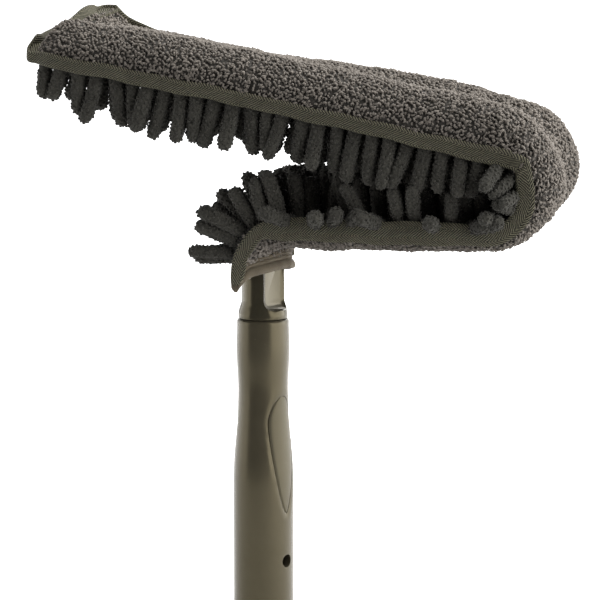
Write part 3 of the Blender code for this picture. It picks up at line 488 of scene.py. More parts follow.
def moulded_plastic(name, dark, light, roughness, grain, **constants):
    """Moulded plastic with a faint tone drift, fine grain and a few dull rubbed places."""
    finish = Finish(name, roughness, **constants)
    place = finish.place()
    drift = finish.noise(place, 28.0, 4.0)
    rubbed = finish.noise(place, 110.0, 5.0, 0.7)
    fine = finish.noise(place, 2600.0, 2.0)
    tone = finish.ramp(drift, [(0.30, dark), (0.72, light)])
    rough = roughness + (drift - 0.5) * 0.10 + (rubbed - 0.5) * 0.06
    normal = finish.bump(fine + rubbed * 0.2, grain, 0.5)
    return finish.wear(Base_Color=tone, Roughness=rough, Normal=normal)


def terry_cloth():
    """Looped microfibre pile: warm grey loops; the darker ground between them is painted shade."""
    finish = Finish("terry_cloth", 0.95, Sheen_Weight=0.12, Sheen_Roughness=0.5)
    place = finish.place()
    broad = finish.noise(place, 24.0, 3.0)
    tuft = finish.noise(place, 620.0, 2.0, 0.6)
    fibre = finish.noise(place, 3400.0, 2.0)
    shade = tuft * 0.62 + broad * 0.26 + fibre * 0.12
    tone = finish.ramp(shade, [(0.30, (0.126, 0.110, 0.094)), (0.52, (0.205, 0.180, 0.154)),
                               (0.74, (0.302, 0.268, 0.231))])
    normal = finish.bump(tuft + fibre * 0.5, 0.0005, 0.7)
    return finish.wear(Base_Color=tone, Normal=normal)


def terry_ground():
    """The knitted ground that shows between the loops, coloured darker than them as painted shade down in the
    pile.
    """
    finish = Finish("terry_ground", 0.95)
    place = finish.place()
    knit = finish.cells(place, 520.0)
    # Painted shade: the ground's dark tone stands in for the shade that falls between the loops.
    tone = finish.ramp(knit, [(0.0, (0.092, 0.082, 0.072)), (0.7, (0.046, 0.042, 0.036))])
    return finish.wear(Base_Color=tone, Normal=finish.bump(knit, 0.0006, 0.8))


def chenille():
    """Short dense near-black pile with a green cast, its tone varying in patches."""
    finish = Finish("chenille", 0.97, Sheen_Weight=0.05, Sheen_Roughness=0.5)
    place = finish.place()
    broad = finish.noise(place, 60.0, 2.0)
    pile = finish.noise(place, 900.0, 3.0, 0.65)
    tone = finish.ramp(pile * 0.7 + broad * 0.3,
                       [(0.32, (0.022, 0.021, 0.017)), (0.68, (0.078, 0.074, 0.061))])
    return finish.wear(Base_Color=tone, Normal=finish.bump(pile, 0.0009, 0.9))


def base_knit():
    """Ribbed knit that the fingers grow from."""
    finish = Finish("base_knit", 0.95)
    uv = finish.uv()
    along = finish.axis(uv, 0)
    rib = (along * (2 * math.pi / 0.0016)).call("SINE")
    tone = finish.ramp(rib * 0.5 + 0.5, [(0.1, (0.016, 0.016, 0.014)), (0.9, (0.045, 0.043, 0.036))])
    return finish.wear(Base_Color=tone, Normal=finish.bump(rib, 0.0004, 0.8))


def edge_tape():
    """Olive-black herringbone tape: ribs of thread that turn back along columns of even width."""
    finish = Finish("edge_tape", 0.80, Specular_IOR_Level=0.35)
    uv = finish.uv()
    along = finish.axis(uv, 0)
    across = finish.axis(uv, 1)
    place = finish.place()
    worn = finish.noise(place, 90.0, 4.0, 0.6)
    loose = finish.noise(place, 420.0, 2.0, 0.5)
    zigzag = (across + 0.0031).call("PINGPONG", 0.0056) * 1.25
    rib = ((along + zigzag + loose * 0.0010) * (2 * math.pi / 0.00172)).call("SINE") * 0.5 + 0.5
    thread = ((across - along * 0.5) * (2 * math.pi / 0.00070)).call("SINE") * 0.5 + 0.5
    shade = rib * 0.60 + thread * 0.16 + worn * 0.20 + loose * 0.12
    tone = finish.ramp(shade, [(0.22, (0.0090, 0.0083, 0.0052)), (0.54, (0.074, 0.068, 0.044)),
                               (0.92, (0.270, 0.253, 0.172))])
    normal = finish.bump(rib + thread * 0.3, 0.00050, 1.0)
    return finish.wear(Base_Color=tone, Normal=normal)


def hem_cloth():
    """Brownish plain-woven hem with a close weave."""
    finish = Finish("hem_cloth", 0.85)
    uv = finish.uv()
    warp = (finish.axis(uv, 0) * (2 * math.pi / 0.0007)).call("SINE")
    weft = (finish.axis(uv, 1) * (2 * math.pi / 0.0007)).call("SINE")
    weave = warp * weft * 0.5 + 0.5
    worn = finish.noise(finish.place(), 120.0, 3.0)
    tone = finish.ramp(weave * 0.45 + worn * 0.55,
                       [(0.25, (0.052, 0.041, 0.027)), (0.75, (0.172, 0.140, 0.092))])
    return finish.wear(Base_Color=tone, Normal=finish.bump(weave, 0.0002, 0.8))


def brushed_steel():
    """Drawn steel with fine streaks."""
    finish = Finish("drawn_steel", 0.34, 1.0)
    place = finish.place()
    brush = finish.noise(place, 900.0, 3.0, 0.6)
    tone = finish.ramp(brush, [(0.3, (0.42, 0.42, 0.41)), (0.7, (0.60, 0.60, 0.58))])
    return finish.wear(Base_Color=tone, Roughness=brush * 0.25 + 0.22, Normal=finish.bump(brush, 0.0001, 0.5))


def foam_filling():
    """Pale open-celled foam."""
    finish = Finish("foam_filling", 0.95)
    cell = finish.cells(finish.place(), 900.0)
    tone = finish.ramp(cell, [(0.0, (0.21, 0.21, 0.20)), (0.7, (0.10, 0.10, 0.10))])
    return finish.wear(Base_Color=tone, Normal=finish.bump(cell, 0.0006, 0.8))


WARM_SHEEN = (1.0, 0.86, 0.54, 1.0)
FINISHES = {
    "satin_plastic": moulded_plastic("satin_plastic", (0.056, 0.049, 0.033), (0.071, 0.062, 0.043), 0.25,
                                     0.00004, Specular_IOR_Level=0.42, Specular_Tint=WARM_SHEEN),
    "inlay_plastic": moulded_plastic("inlay_plastic", (0.074, 0.066, 0.046), (0.092, 0.082, 0.058), 0.40,
                                     0.00016, Specular_IOR_Level=0.34, Specular_Tint=WARM_SHEEN),
    "gloss_plastic": moulded_plastic("gloss_plastic", (0.038, 0.034, 0.023), (0.048, 0.043, 0.030), 0.16,
                                     0.00003, Specular_IOR_Level=0.45, Specular_Tint=WARM_SHEEN),
    "spine_plastic": moulded_plastic("spine_plastic", (0.040, 0.040, 0.040), (0.060, 0.060, 0.058), 0.55,
                                     0.00015),
    "steel": brushed_steel(),
    "foam": foam_filling(),
    "terry": terry_cloth(),
    "terry_ground": terry_ground(),
    "chenille": chenille(),
    "base_knit": base_knit(),
    "edge_tape": edge_tape(),
    "hem_cloth": hem_cloth(),
}


# Route

class Place:
    """A place on the route: along is the way it runs, across its width, out the terry side."""

    def __init__(self, point, along, across):
        self.point = point
        self.along = along
        self.across = across
        self.out = across.cross(along)

    def at(self, across, out, along=0.0):
        return self.point + self.across * across + self.out * out + self.along * along

    def moved(self, distance, bend, twist, share):
        """The place at a share of a stretch that bends and twists evenly."""
        run = distance * share
        angle = bend * share
        if abs(bend) < 1e-9:
            point = self.point + self.along * run
        else:
            radius = distance / bend
            rise = self.out * (radius * (1 - math.cos(angle)))
            point = self.point + rise + self.along * (radius * math.sin(angle))
        along = Matrix.Rotation(angle, 3, self.across) @ self.along
        across = Matrix.Rotation(twist * share, 3, along) @ self.across
        return Place(point, along, across)


def build_route():
    """The route's stretches: start, length, first place, bend and twist."""
    stretches = [
        (NECK_BEND_START, 0.0, 0.0),
        (NECK_BEND_LENGTH, NECK_BEND_ANGLE, 0.0),
        (LOWER_LENGTH, 0.0, LOWER_TWIST),
        (U_BEND_LENGTH, U_BEND_ANGLE, 0.0),
        (UPPER_LENGTH, UPPER_BOW, UPPER_TWIST),
    ]
    place = Place(Vector((0, 0, SLEEVE_START_HEIGHT)), Vector((0, 0, 1)), Vector((0, 1, 0)))
    route = []
    start = 0.0
    for length, bend, twist in stretches:
        route.append((start, length, place, bend, twist))
        place = place.moved(length, bend, twist, 1.0)
        start += length
    return route


ROUTE = build_route()


def place_at(station):
    """The place at a station, which is a distance along the route."""
    for start, length, place, bend, twist in ROUTE:
        if station <= start + length:
            break
    return place.moved(length, bend, twist, (station - start) / length)


class Stretch:
    """A length of the sleeve that rides on one body, or spans one joint between two bodies."""

    def __init__(self, name, start, stop, body, next_body=None, joint=None, replaces=""):
        self.name = name
        self.start = start
        self.stop = stop
        self.body = body
        self.next_body = next_body
        self.joint = joint
        self.replaces = replaces

    def hang(self, piece, reaches):
        """Rides the piece on its body; a piece across a joint only has its place baked into its mesh. reaches
        is not used.
        """
        if self.joint is None:
            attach(piece, self.body)
            return
        bend, number = self.joint.rsplit("_", 1)
        start, length, hinges = BENDS[bend]
        along = place_at(start + length * (int(number) - 0.5) / hinges).along
        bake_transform(piece)


MID_NECK = NECK_BEND_START + NECK_BEND_LENGTH / 2
AFTER_NECK = NECK_BEND_END + 0.022
BEFORE_U = LOWER_END - 0.024
LINK_MIDDLES = [LOWER_END + U_BEND_LENGTH * k / 4 for k in (1, 2, 3)]
AFTER_U = U_BEND_END + 0.028
MID_UPPER = AFTER_U + (ROUTE_END - AFTER_U) * 0.48

STRETCHES = [
    Stretch("mouth", 0.0, MID_NECK, "root", "neck_link", "neck_bend_1", "neck"),
    Stretch("neck", MID_NECK, AFTER_NECK, "neck_link", "lower_arm", "neck_bend_2", "neck"),
    Stretch("lower", AFTER_NECK, BEFORE_U, "lower_arm", replaces="lower"),
    Stretch("bend_1", BEFORE_U, LINK_MIDDLES[0], "lower_arm", "bend_link_1", "u_bend_1", "bend"),
    Stretch("bend_2", LINK_MIDDLES[0], LINK_MIDDLES[1], "bend_link_1", "bend_link_2", "u_bend_2", "bend"),
    Stretch("bend_3", LINK_MIDDLES[1], LINK_MIDDLES[2], "bend_link_2", "bend_link_3", "u_bend_3", "bend"),
    Stretch("bend_4", LINK_MIDDLES[2], AFTER_U, "bend_link_3", "upper_arm", "u_bend_4", "bend"),
    Stretch("upper", AFTER_U, MID_UPPER, "upper_arm", replaces="upper"),
    Stretch("tip", MID_UPPER, ROUTE_END, "upper_arm", replaces="upper"),
]

# Each kind of piece's reach from a hinge, handed to Stretch.hang
TERRY_REACH = {"neck_bend": 0.0018, "u_bend": 0.0072}
TAPE_REACH = {"neck_bend": 0.0040, "u_bend": 0.0052}
FINGER_REACH = {"neck_bend": 0.0060, "u_bend": 0.0034}
CORE_REACH = {"neck_bend": 0.0040, "u_bend": 0.0075}


def stations_between(start, stop, step=STATION_STEP):
    """Even stations from start to stop, no further apart than step."""
    count = max(2, math.ceil((stop - start) / step))
    return [start + (stop - start) * i / count for i in range(count + 1)]


# Mesh helpers

def put_in_scene(name, data):
    made = bpy.data.objects.new(name, data)
    bpy.context.scene.collection.objects.link(made)
    return made


def add_piece(name, bm, finishes, smooth_faces=True):
    """Makes an object of the mesh, its faces looking outward and its materials set."""
    bmesh.ops.recalc_face_normals(bm, faces=bm.faces)
    if all(edge.is_manifold for edge in bm.edges) and bm.calc_volume(signed=True) < 0:
        bmesh.ops.reverse_faces(bm, faces=bm.faces)
    mesh = bpy.data.meshes.new(name)
    bm.to_mesh(mesh)
    bm.free()
    for finish in finishes:
        mesh.materials.append(FINISHES[finish])
    if smooth_faces:
        mesh.shade_smooth()
    return put_in_scene(name, mesh)


def hidden_piece(name, bm, finish="satin_plastic"):
    """A mesh that others are cut with or made of, and that isn't shown itself."""
    piece = add_piece(name, bm, [finish])
    piece.hide_render = True
    return piece


def settle(piece):
    """Turns what the piece's modifiers make into its plain mesh."""
    depsgraph = bpy.context.evaluated_depsgraph_get()
    made = bpy.data.meshes.new_from_object(piece.evaluated_get(depsgraph))
    piece.modifiers.clear()
    piece.data = made
    return piece


def circle(radius, count):
    """Even points round a circle, as (x, y)."""
    angles = [2 * math.pi * i / count for i in range(count)]
    return [(radius * math.cos(angle), radius * math.sin(angle)) for angle in angles]


def lathe(bm, profile, segments, closed=False):
    """Turns a profile of (radius, height) round the z axis."""
    rings = []
    for radius, height in profile:
        points = circle(radius, segments) if radius else [(0, 0)]
        rings.append([bm.verts.new((x, y, height)) for x, y in points])
    pairs = list(zip(rings, rings[1:]))
    if closed:
        pairs.append((rings[-1], rings[0]))
    for first, second in pairs:
        for i in range(segments):
            j = (i + 1) % segments
            corners = [first[i % len(first)], first[j % len(first)]]
            corners += [second[j % len(second)], second[i % len(second)]]
            bm.faces.new(list(dict.fromkeys(corners)))


def loft(bm, sections, uv_rows=None, cap=True):
    """Quads through closed sections, with an optional (u, v) for each point of each section."""
    layer = bm.loops.layers.uv.verify() if uv_rows else None
    rings = [[bm.verts.new(point) for point in section] for section in sections]
    count = len(rings[0])
    for k in range(len(rings) - 1):
        for i in range(count):
            j = (i + 1) % count
            face = bm.faces.new((rings[k][i], rings[k][j], rings[k + 1][j], rings[k + 1][i]))
            if layer:
                next_v = i + 1 if i + 1 < len(uv_rows[k]) else i
                places = (uv_rows[k][i], uv_rows[k][next_v], uv_rows[k + 1][next_v], uv_rows[k + 1][i])
                for loop, place in zip(face.loops, places):
                    loop[layer].uv = place
    if cap:
        bm.faces.new(list(reversed(rings[0])))
        bm.faces.new(rings[-1])
    return rings


def rod_cutter(name, radius, length, segments, matrix):
    """A rod along z, moved by the matrix, to cut a hole with."""
    bm = bmesh.new()
    bmesh.ops.create_cone(bm, cap_ends=True, segments=segments, radius1=radius, radius2=radius,
                          depth=length, matrix=matrix)
    return hidden_piece(name, bm)


def block(size, middle):
    bm = bmesh.new()
    bmesh.ops.create_cube(bm, size=1.0, matrix=Matrix.LocRotScale(Vector(middle), None, Vector(size)))
    return bm


def carve(piece, cutters, operation="DIFFERENCE"):
    """Cuts the cutters out of the piece, or joins them to it, and takes them away."""
    for other in cutters:
        modifier = piece.modifiers.new(other.name, "BOOLEAN")
        modifier.object = other
        modifier.operation = operation
        modifier.solver = "EXACT"
    settle(piece)
    for other in cutters:
        bpy.data.objects.remove(other)
    return piece


def soften(piece, width, angle):
    """Rounds the edges that are sharper than angle."""
    modifier = piece.modifiers.new("rounded_edges", "BEVEL")
    modifier.width = width
    modifier.segments = 2
    modifier.limit_method = "ANGLE"
    modifier.angle_limit = math.radians(angle)
    modifier.harden_normals = False
    settle(piece)
    piece.data.shade_smooth()
    piece.data.set_sharp_from_angle(angle=SHARP_ANGLE)
    return piece


# Handle

def grip_radius(height):
    """The grip's outer radius: straight below, drawn in to a waist, fuller at its shoulder."""
    for (low, wide), (high, narrow) in zip(GRIP_RINGS, GRIP_RINGS[1:]):
        if height <= high:
            return mix(wide, narrow, smooth((height - low) / (high - low)))
    return GRIP_RINGS[-1][1]


def leaf_half_width(height):
    """Half the width of the leaf outline at a height, below nothing outside its length."""
    share = (LEAF_TOP - height) / (LEAF_TOP - LEAF_BOTTOM)
    if not 0 < share < 1:
        return 0.0
    if share < LEAF_WIDEST:
        return LEAF_HALF_WIDTH * math.sin(math.pi / 2 * share / LEAF_WIDEST) ** LEAF_HEAD_POWER
    tail_share = (share - LEAF_WIDEST) / (1 - LEAF_WIDEST)
    return LEAF_HALF_WIDTH * math.cos(math.pi / 2 * tail_share) ** LEAF_TAIL_POWER


def leaf_outline(margin, steps=40):
    """The leaf's outline as (across, height) points, a margin wider all round."""
    right = []
    for i in range(1, steps):
        share = (1 - math.cos(math.pi * i / steps)) / 2
        height = mix(LEAF_TOP, LEAF_BOTTOM, share)
        right.append((leaf_half_width(height) + margin, height))
    left = [(-y, z) for y, z in reversed(right)]
    return [(0, LEAF_TOP + margin), *right, (0, LEAF_BOTTOM - margin), *left]


LEAF_EDGE = [Vector(point) for point in leaf_outline(0.0)]


def leaf_distance(y, z):
    """Distance from a point of the flat leaf view to the leaf's outline."""
    return min((Vector((y, z)) - point).length for point in LEAF_EDGE)


def prism(points, start, stop, turn):
    """A straight body with the outline of the points, turned about the grip's axis."""
    bm = bmesh.new()
    loft(bm, [[Vector((x, y, z)) for y, z in points] for x in (start, stop)])
    bmesh.ops.rotate(bm, cent=(0, 0, 0), matrix=Matrix.Rotation(turn, 3, "Z"), verts=bm.verts)
    return bm


def grip_profile():
    """The grip's outer wall from its rounded foot to its rounded top."""
    points = []
    for angle in quarter_turn(3):
        points.append((GRIP_RINGS[0][1] - GRIP_EDGE * (1 - math.sin(angle)),
                       GRIP_EDGE * (1 - math.cos(angle))))
    steps = 96
    for i in range(1, steps):
        height = mix(GRIP_EDGE, GRIP_LENGTH - GRIP_EDGE, i / steps)
        points.append((grip_radius(height), height))
    top = grip_radius(GRIP_LENGTH)
    for angle in quarter_turn(3):
        points.append((top - GRIP_EDGE * (1 - math.cos(angle)),
                       GRIP_LENGTH - GRIP_EDGE * (1 - math.sin(angle))))
    return points


def grip_solid(offset):
    """The grip's outer form, filled, and grown by an offset."""
    bm = bmesh.new()
    outer = [(radius + offset, height) for radius, height in grip_profile()]
    lathe(bm, [(0, 0.0), *outer, (0, GRIP_LENGTH)], 96)
    return bm


def dip_towards_leaf(bm):
    """Draws the wall in round each leaf's outline, where the moulding rolls down to the inlay."""
    for vert in bm.verts:
        if math.hypot(vert.co.x, vert.co.y) < SOCKET_RADIUS + INNER_SKIN:
            continue
        for side in (0.0, math.pi):
            local = Matrix.Rotation(-HANDLE_TURN - side, 3, "Z") @ vert.co
            if local.x < 0 or not LEAF_BOTTOM - LEAF_ZONE < local.z < LEAF_TOP + LEAF_ZONE:
                continue
            near = smooth(1 - leaf_distance(local.y, local.z) / LEAF_DIP_REACH)
            draw = 1 - LEAF_DIP * near / math.hypot(local.x, local.y)
            vert.co.x *= draw
            vert.co.y *= draw


def make_grip():
    """The hollow grip with its leaf recesses and the hole for the pole's button."""
    bm = bmesh.new()
    bore = PLUG_RADIUS + PLUG_GAP
    inner = [
        (bore, GRIP_LENGTH),
        (bore, WEB_HEIGHT + WEB_THICKNESS),
        (SCREW_HOLE_RADIUS, WEB_HEIGHT + WEB_THICKNESS),
        (SCREW_HOLE_RADIUS, WEB_HEIGHT),
        (RELIEF_RADIUS, WEB_HEIGHT),
        (RELIEF_RADIUS, SOCKET_DEPTH + SOCKET_CONE),
        (SOCKET_RADIUS, SOCKET_DEPTH),
        (SOCKET_RADIUS, GRIP_EDGE),
        (SOCKET_RADIUS + GRIP_EDGE / 2, 0.0),
    ]
    lathe(bm, [*grip_profile(), *inner], 128, closed=True)
    dip_towards_leaf(bm)
    grip = add_piece("grip", bm, ["satin_plastic"])
    cutters = []
    for side, word in ((0.0, "right"), (math.pi, "left")):
        leaf = prism(leaf_outline(LEAF_GAP), *RECESS_REACH, HANDLE_TURN + side)
        recess = hidden_piece(f"recess_{word}", leaf)
        carve(recess, [hidden_piece("floor", grip_solid(-LEAF_RECESS))])
        cutters.append(recess)
    turn = Matrix.Rotation(HANDLE_TURN, 4, "Z")
    reach = Matrix.Translation((BUTTON_HOLE_DEPTH, 0, BUTTON_HEIGHT)) @ Matrix.Rotation(math.pi / 2, 4, "Y")
    cutters.append(rod_cutter("button_hole", BUTTON_HOLE_RADIUS, BUTTON_HOLE_DEPTH, 48, turn @ reach))
    carve(grip, cutters)
    soften(grip, 0.00035, 40)
    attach(grip, "root")
    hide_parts("grip_shell")


def make_inlay(side, word):
    """A leaf with a softly domed face and rounded rim, bent round the grip."""
    rows = 56
    columns = 18
    bm = bmesh.new()
    layers = []
    for depth in (0, 1):
        layer = []
        for i in range(rows + 1):
            share = (1 - math.cos(math.pi * i / rows)) / 2
            height = mix(LEAF_TOP - 0.00005, LEAF_BOTTOM + 0.00005, share)
            half = max(leaf_half_width(height), 0.00008)
            row = []
            for j in range(columns + 1):
                place = math.sin(math.pi / 2 * (2 * j / columns - 1))
                y = half * place
                edge = min(half * (1 - abs(place)), (LEAF_TOP - height), (height - LEAF_BOTTOM))
                rim = INLAY_SUNK + INLAY_RIM_DROP * (1 - smooth(edge / INLAY_RIM))
                drop = LEAF_RECESS - INLAY_BED if depth else rim
                radius = grip_radius(height) - drop
                angle = math.asin(min(0.999, y / grip_radius(height))) + HANDLE_TURN + side
                row.append(bm.verts.new((radius * math.cos(angle), radius * math.sin(angle), height)))
            layer.append(row)
        layers.append(layer)
    top, back = layers
    for i in range(rows):
        for j in range(columns):
            bm.faces.new((top[i][j], top[i][j + 1], top[i + 1][j + 1], top[i + 1][j]))
            bm.faces.new((back[i][j], back[i + 1][j], back[i + 1][j + 1], back[i][j + 1]))
        for j in (0, columns):
            bm.faces.new((top[i][j], top[i + 1][j], back[i + 1][j], back[i][j]))
    for j in range(columns):
        for i in (0, rows):
            bm.faces.new((top[i][j], top[i][j + 1], back[i][j + 1], back[i][j]))
    piece = add_piece(f"inlay_{word}", bm, ["inlay_plastic"])
    piece.data.set_sharp_from_angle(angle=SHARP_ANGLE)
    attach(piece, "root")
    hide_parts(f"grip_inlay_{word}")


def scoop(side):
    """A block with rounded lower edges that hollows one side of the neck."""
    wide = NECK_RADIUS * 2 - 0.0004
    tall = NECK_TOP - FLAT_BOTTOM + 0.012
    middle = (FLAT_HALF_THICKNESS + SCOOP_DEPTH / 2, 0, FLAT_BOTTOM + tall / 2)
    bm = block((SCOOP_DEPTH, wide, tall), middle)
    low_edges = [e for e in bm.edges if all(v.co.z < FLAT_BOTTOM + 0.001 for v in e.verts)]
    side_edges = [e for e in bm.edges if abs(e.verts[0].co.z - e.verts[1].co.z) > 0.01
                  and all(v.co.x < FLAT_HALF_THICKNESS + 0.001 for v in e.verts)]
    bmesh.ops.bevel(bm, geom=low_edges + side_edges, offset=FLAT_FILLET, segments=6, affect="EDGES",
                    profile=0.5)
    bmesh.ops.rotate(bm, cent=(0, 0, 0), matrix=Matrix.Rotation(HANDLE_TURN + side, 3, "Z"),
                     verts=bm.verts)
    return bm


def make_neck():
    """The neck with its flare and scooped flats, bored for the screw, strip, wires and pin."""
    foot = WEB_HEIGHT + WEB_THICKNESS + PLUG_GAP
    flare = []
    for i in range(15):
        share = i / 14
        radius = mix(NECK_FLARE_RADIUS, NECK_RADIUS, smooth(share))
        flare.append((radius, SEAM_HEIGHT + FLARE_LIP + (FLARE_HEIGHT - FLARE_LIP) * share))
    stem = [(NECK_RADIUS, mix(SEAM_HEIGHT + FLARE_HEIGHT, NECK_TOP, i / 10)) for i in range(1, 11)]
    profile = [
        (0, foot + SCREW_BORE_DEPTH), (SCREW_BORE_RADIUS, foot + SCREW_BORE_DEPTH),
        (SCREW_BORE_RADIUS, foot), (PLUG_RADIUS, foot),
        (PLUG_RADIUS, SEAM_HEIGHT), (NECK_FLARE_RADIUS - 0.0004, SEAM_HEIGHT),
        (NECK_FLARE_RADIUS, SEAM_HEIGHT + 0.0005), *flare, *stem, (0, NECK_TOP),
    ]
    bm = bmesh.new()
    lathe(bm, profile, 96)
    neck = add_piece("neck_socket", bm, ["gloss_plastic"])
    strip_low, strip_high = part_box("spine_root")
    room = Vector((STRIP_SLOT_ROOM,) * 3)
    slot = block(strip_high - strip_low + room, (strip_high + strip_low) / 2)
    cutters = [hidden_piece("scoop_right", scoop(0.0)), hidden_piece("scoop_left", scoop(math.pi))]
    cutters.append(hidden_piece("strip_slot", slot))
    for side, word in SIDES:
        middle = (STRIP_OUT, side * WIRE_ACROSS, NECK_TOP - WIRE_ROOT_DEPTH / 2 + 0.003)
        cutters.append(rod_cutter(f"wire_hole_{word}", WIRE_HOLE_RADIUS, WIRE_ROOT_DEPTH + 0.006, 16,
                                  Matrix.Translation(middle)))
    pin_low, pin_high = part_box("spine_pin")
    laid = Matrix.Translation((pin_low + pin_high) / 2) @ Matrix.Rotation(math.pi / 2, 4, "Y")
    cutters.append(rod_cutter("pin_hole", PIN_HOLE_RADIUS, PIN_HOLE_LENGTH, 20, laid))
    carve(neck, cutters)
    soften(neck, 0.00030, 32)
    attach(neck, "root")
    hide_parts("neck")


# Sleeve's shape

def sleeve_half(base, station):
    """A half width of the sleeve, drawn in a little at the closed end's corners."""
    share = clamp((station - ROUTE_END + CORNER_RUN) / CORNER_RUN)
    return base - CORNER_DRAW * share * share


def near_fullness(station):
    """How much fuller the near side is along the upper leg, most of all where it leaves the bend."""
    past = station - U_BEND_END
    leg = eased(past, -NEAR_RISE_LEAD, NEAR_RISE_RUN)
    leg *= 1 - NEAR_FALL * eased(past, NEAR_FALL_START, NEAR_FALL_RUN)
    shoulder = hump(past - SHOULDER_PLACE, SHOULDER_REACH)
    return 1 + NEAR_RISE * leg + SHOULDER_RISE * shoulder


def fullness(station, across):
    """The share of the full crown that the panel has at a place along and across it."""
    middle = (LOWER_END + U_BEND_END) / 2
    level = mix(LOWER_FULLNESS, 1.0, eased(station, middle, U_BEND_END - middle))
    past = station - LOWER_END
    level -= CORNER_FULLNESS * hump(past - U_BEND_LENGTH * PULL_PLACE, U_BEND_LENGTH * PULL_REACH)
    level += NOSE_FULLNESS * hump(past - U_BEND_LENGTH * NOSE_PLACE, U_BEND_LENGTH * NOSE_REACH)
    near = eased(-across / PANEL_HALF_WIDTH, -NEAR_SIDE_START, NEAR_SIDE_RUN)
    level *= mix(1.0, near_fullness(station), near)
    fall = eased((station - U_BEND_END) / UPPER_LENGTH, FAR_FALL_START, FAR_FALL_RUN)
    side = eased(across / PANEL_HALF_WIDTH, FAR_SIDE_START, 1 + FAR_SIDE_START)
    return level * (1 - (1 - FAR_FULLNESS) * fall * side)


def tip_share(station, across):
    """The crown falls in a quarter ellipse at the closed end, and earlier on its far side."""
    share = clamp((station - ROUTE_END + CROWN_TAPER) / CROWN_TAPER)
    near_level = mix(CROWN_AT_TIP, 1.0, math.sqrt(1 - share * share))
    far_level = mix(FAR_CROWN_AT_TIP, 1.0, smooth((ROUTE_END - station) / FAR_CROWN_TAPER))
    return mix(near_level, far_level, eased(across / PANEL_HALF_WIDTH, FAR_TIP_START, FAR_TIP_RUN))


def end_slant(station, across):
    """How far the closed end is drawn back, more and more towards its far corner."""
    run = clamp((station - ROUTE_END + END_SLANT_RUN) / END_SLANT_RUN) ** 2
    return run * (END_SLANT * clamp((across / PANEL_HALF_WIDTH + 1) / 2) - NEAR_REACH)


def far_sag(station, across):
    """How far the far edge hangs down along the outer half of the upper leg."""
    run = eased(station - ROUTE_END, -FAR_SAG_RUN, FAR_SAG_EASE)
    return FAR_SAG * run * eased(across / PANEL_HALF_WIDTH, FAR_SAG_START, FAR_SAG_WIDTH)


def corner_curl(station, across):
    """How far the closed end curls up, except along its near edge, with its far corner raised."""
    run = clamp((station - ROUTE_END + CURL_RUN) / CURL_RUN) ** 2
    side = clamp((1 - across / sleeve_half(PANEL_HALF_WIDTH, station)) / 2)
    corner = (clamp((station - ROUTE_END + FAR_CORNER_RUN) / FAR_CORNER_RUN) * (1 - side)) ** 3
    return CURL_RISE * run * (1 - side ** 8) + FAR_CORNER_RISE * corner - far_sag(station, across)


def mouth_front(across):
    """How far the sleeve's mouth stands out in front of the neck."""
    return HEM_FRONT * max(0.0, 1 - abs(across / HEM_HALF_WIDTH) ** HEM_POWER)


def mouth_slant(across):
    """The mouth's front edge rises in the middle and hangs at its pinched near corner."""
    share = min(1.0, abs(across) / HEM_HALF_WIDTH)
    if across < 0:
        return MOUTH_RISE - MOUTH_NEAR_FALL * share ** 1.8 - MOUTH_CORNER_FALL * share ** 12
    return MOUTH_RISE - MOUTH_FAR_FALL * share ** 1.4


def unevenness(station, across):
    """The soft lumps of a stuffed sleeve."""
    lumps = math.sin(station * 134 + across * 40) * math.sin(across * 75 + station * 31 + 1)
    pleats = math.sin(station * 290 - across * 70 + 2 * math.sin(station * 47))
    return LUMP_HEIGHT * lumps + PLEAT_HEIGHT * pleats


def gathers(station, across):
    """The pleats that the turned tape draws in the near wall of the terry at the bend."""
    share = (station - LOWER_END) / U_BEND_LENGTH
    zone = smooth((share - 0.05) / 0.25) * smooth((1.20 - share) / 0.30)
    near = smooth((-across / PANEL_HALF_WIDTH - 0.35) / 0.40)
    wave = math.sin(2 * math.pi * station / GATHER_PITCH + 1.6 * math.sin(station * 210))
    return GATHER_DEPTH * zone * near * wave


def panel_section(station):
    """The closed section of the terry panel and its underside, as (across, out) points."""
    half = sleeve_half(PANEL_HALF_WIDTH, station)
    mouth = smooth(station / MOUTH_RUN)
    arch = []
    for i in range(PANEL_RING + 1):
        angle = math.pi * i / PANEL_RING
        across = half * math.copysign(abs(math.cos(angle)) ** PANEL_SIDE_POWER, math.cos(angle))
        full = fullness(station, across) * tip_share(station, across)
        out = PANEL_CROWN * full * max(0.0, math.sin(angle)) ** PANEL_TOP_POWER
        out -= PANEL_DIP * full * hump(across, PANEL_DIP_REACH)
        out += unevenness(station, across) * math.sin(angle)
        pleat = gathers(station, across) * smooth(math.sin(angle) / 0.25)
        out = max(PANEL_FOOT, mix(mouth_front(across), out + pleat * math.sin(angle), mouth))
        arch.append((across - pleat, out))
    under = [(-half + 2 * half * i / BOTTOM_RING, PANEL_FOOT) for i in range(1, BOTTOM_RING)]
    return [(a, o + corner_curl(station, a)) for a, o in arch + under]


def panel_points(stations):
    """The panel's sections in space, drawn back or forward at the closed end and the mouth."""
    sections = []
    for station in stations:
        place = place_at(station)
        mouth = 1 - smooth(station / MOUTH_RUN)
        sections.append([place.at(a, o, mouth_slant(a) * mouth - end_slant(station, a))
                         for a, o in panel_section(station)])
    return sections


def panel_stations():
    """The panel's stations, closer together in the bend, with one at each end of a stretch."""
    marks = sorted({s.start for s in STRETCHES} | {ROUTE_END})
    stations = []
    for start, stop in zip(marks, marks[1:]):
        step = BEND_STATION_STEP if LOWER_END - 0.030 < start < U_BEND_END else STATION_STEP
        stations += stations_between(start, stop, step)[:-1]
    return stations + [ROUTE_END]


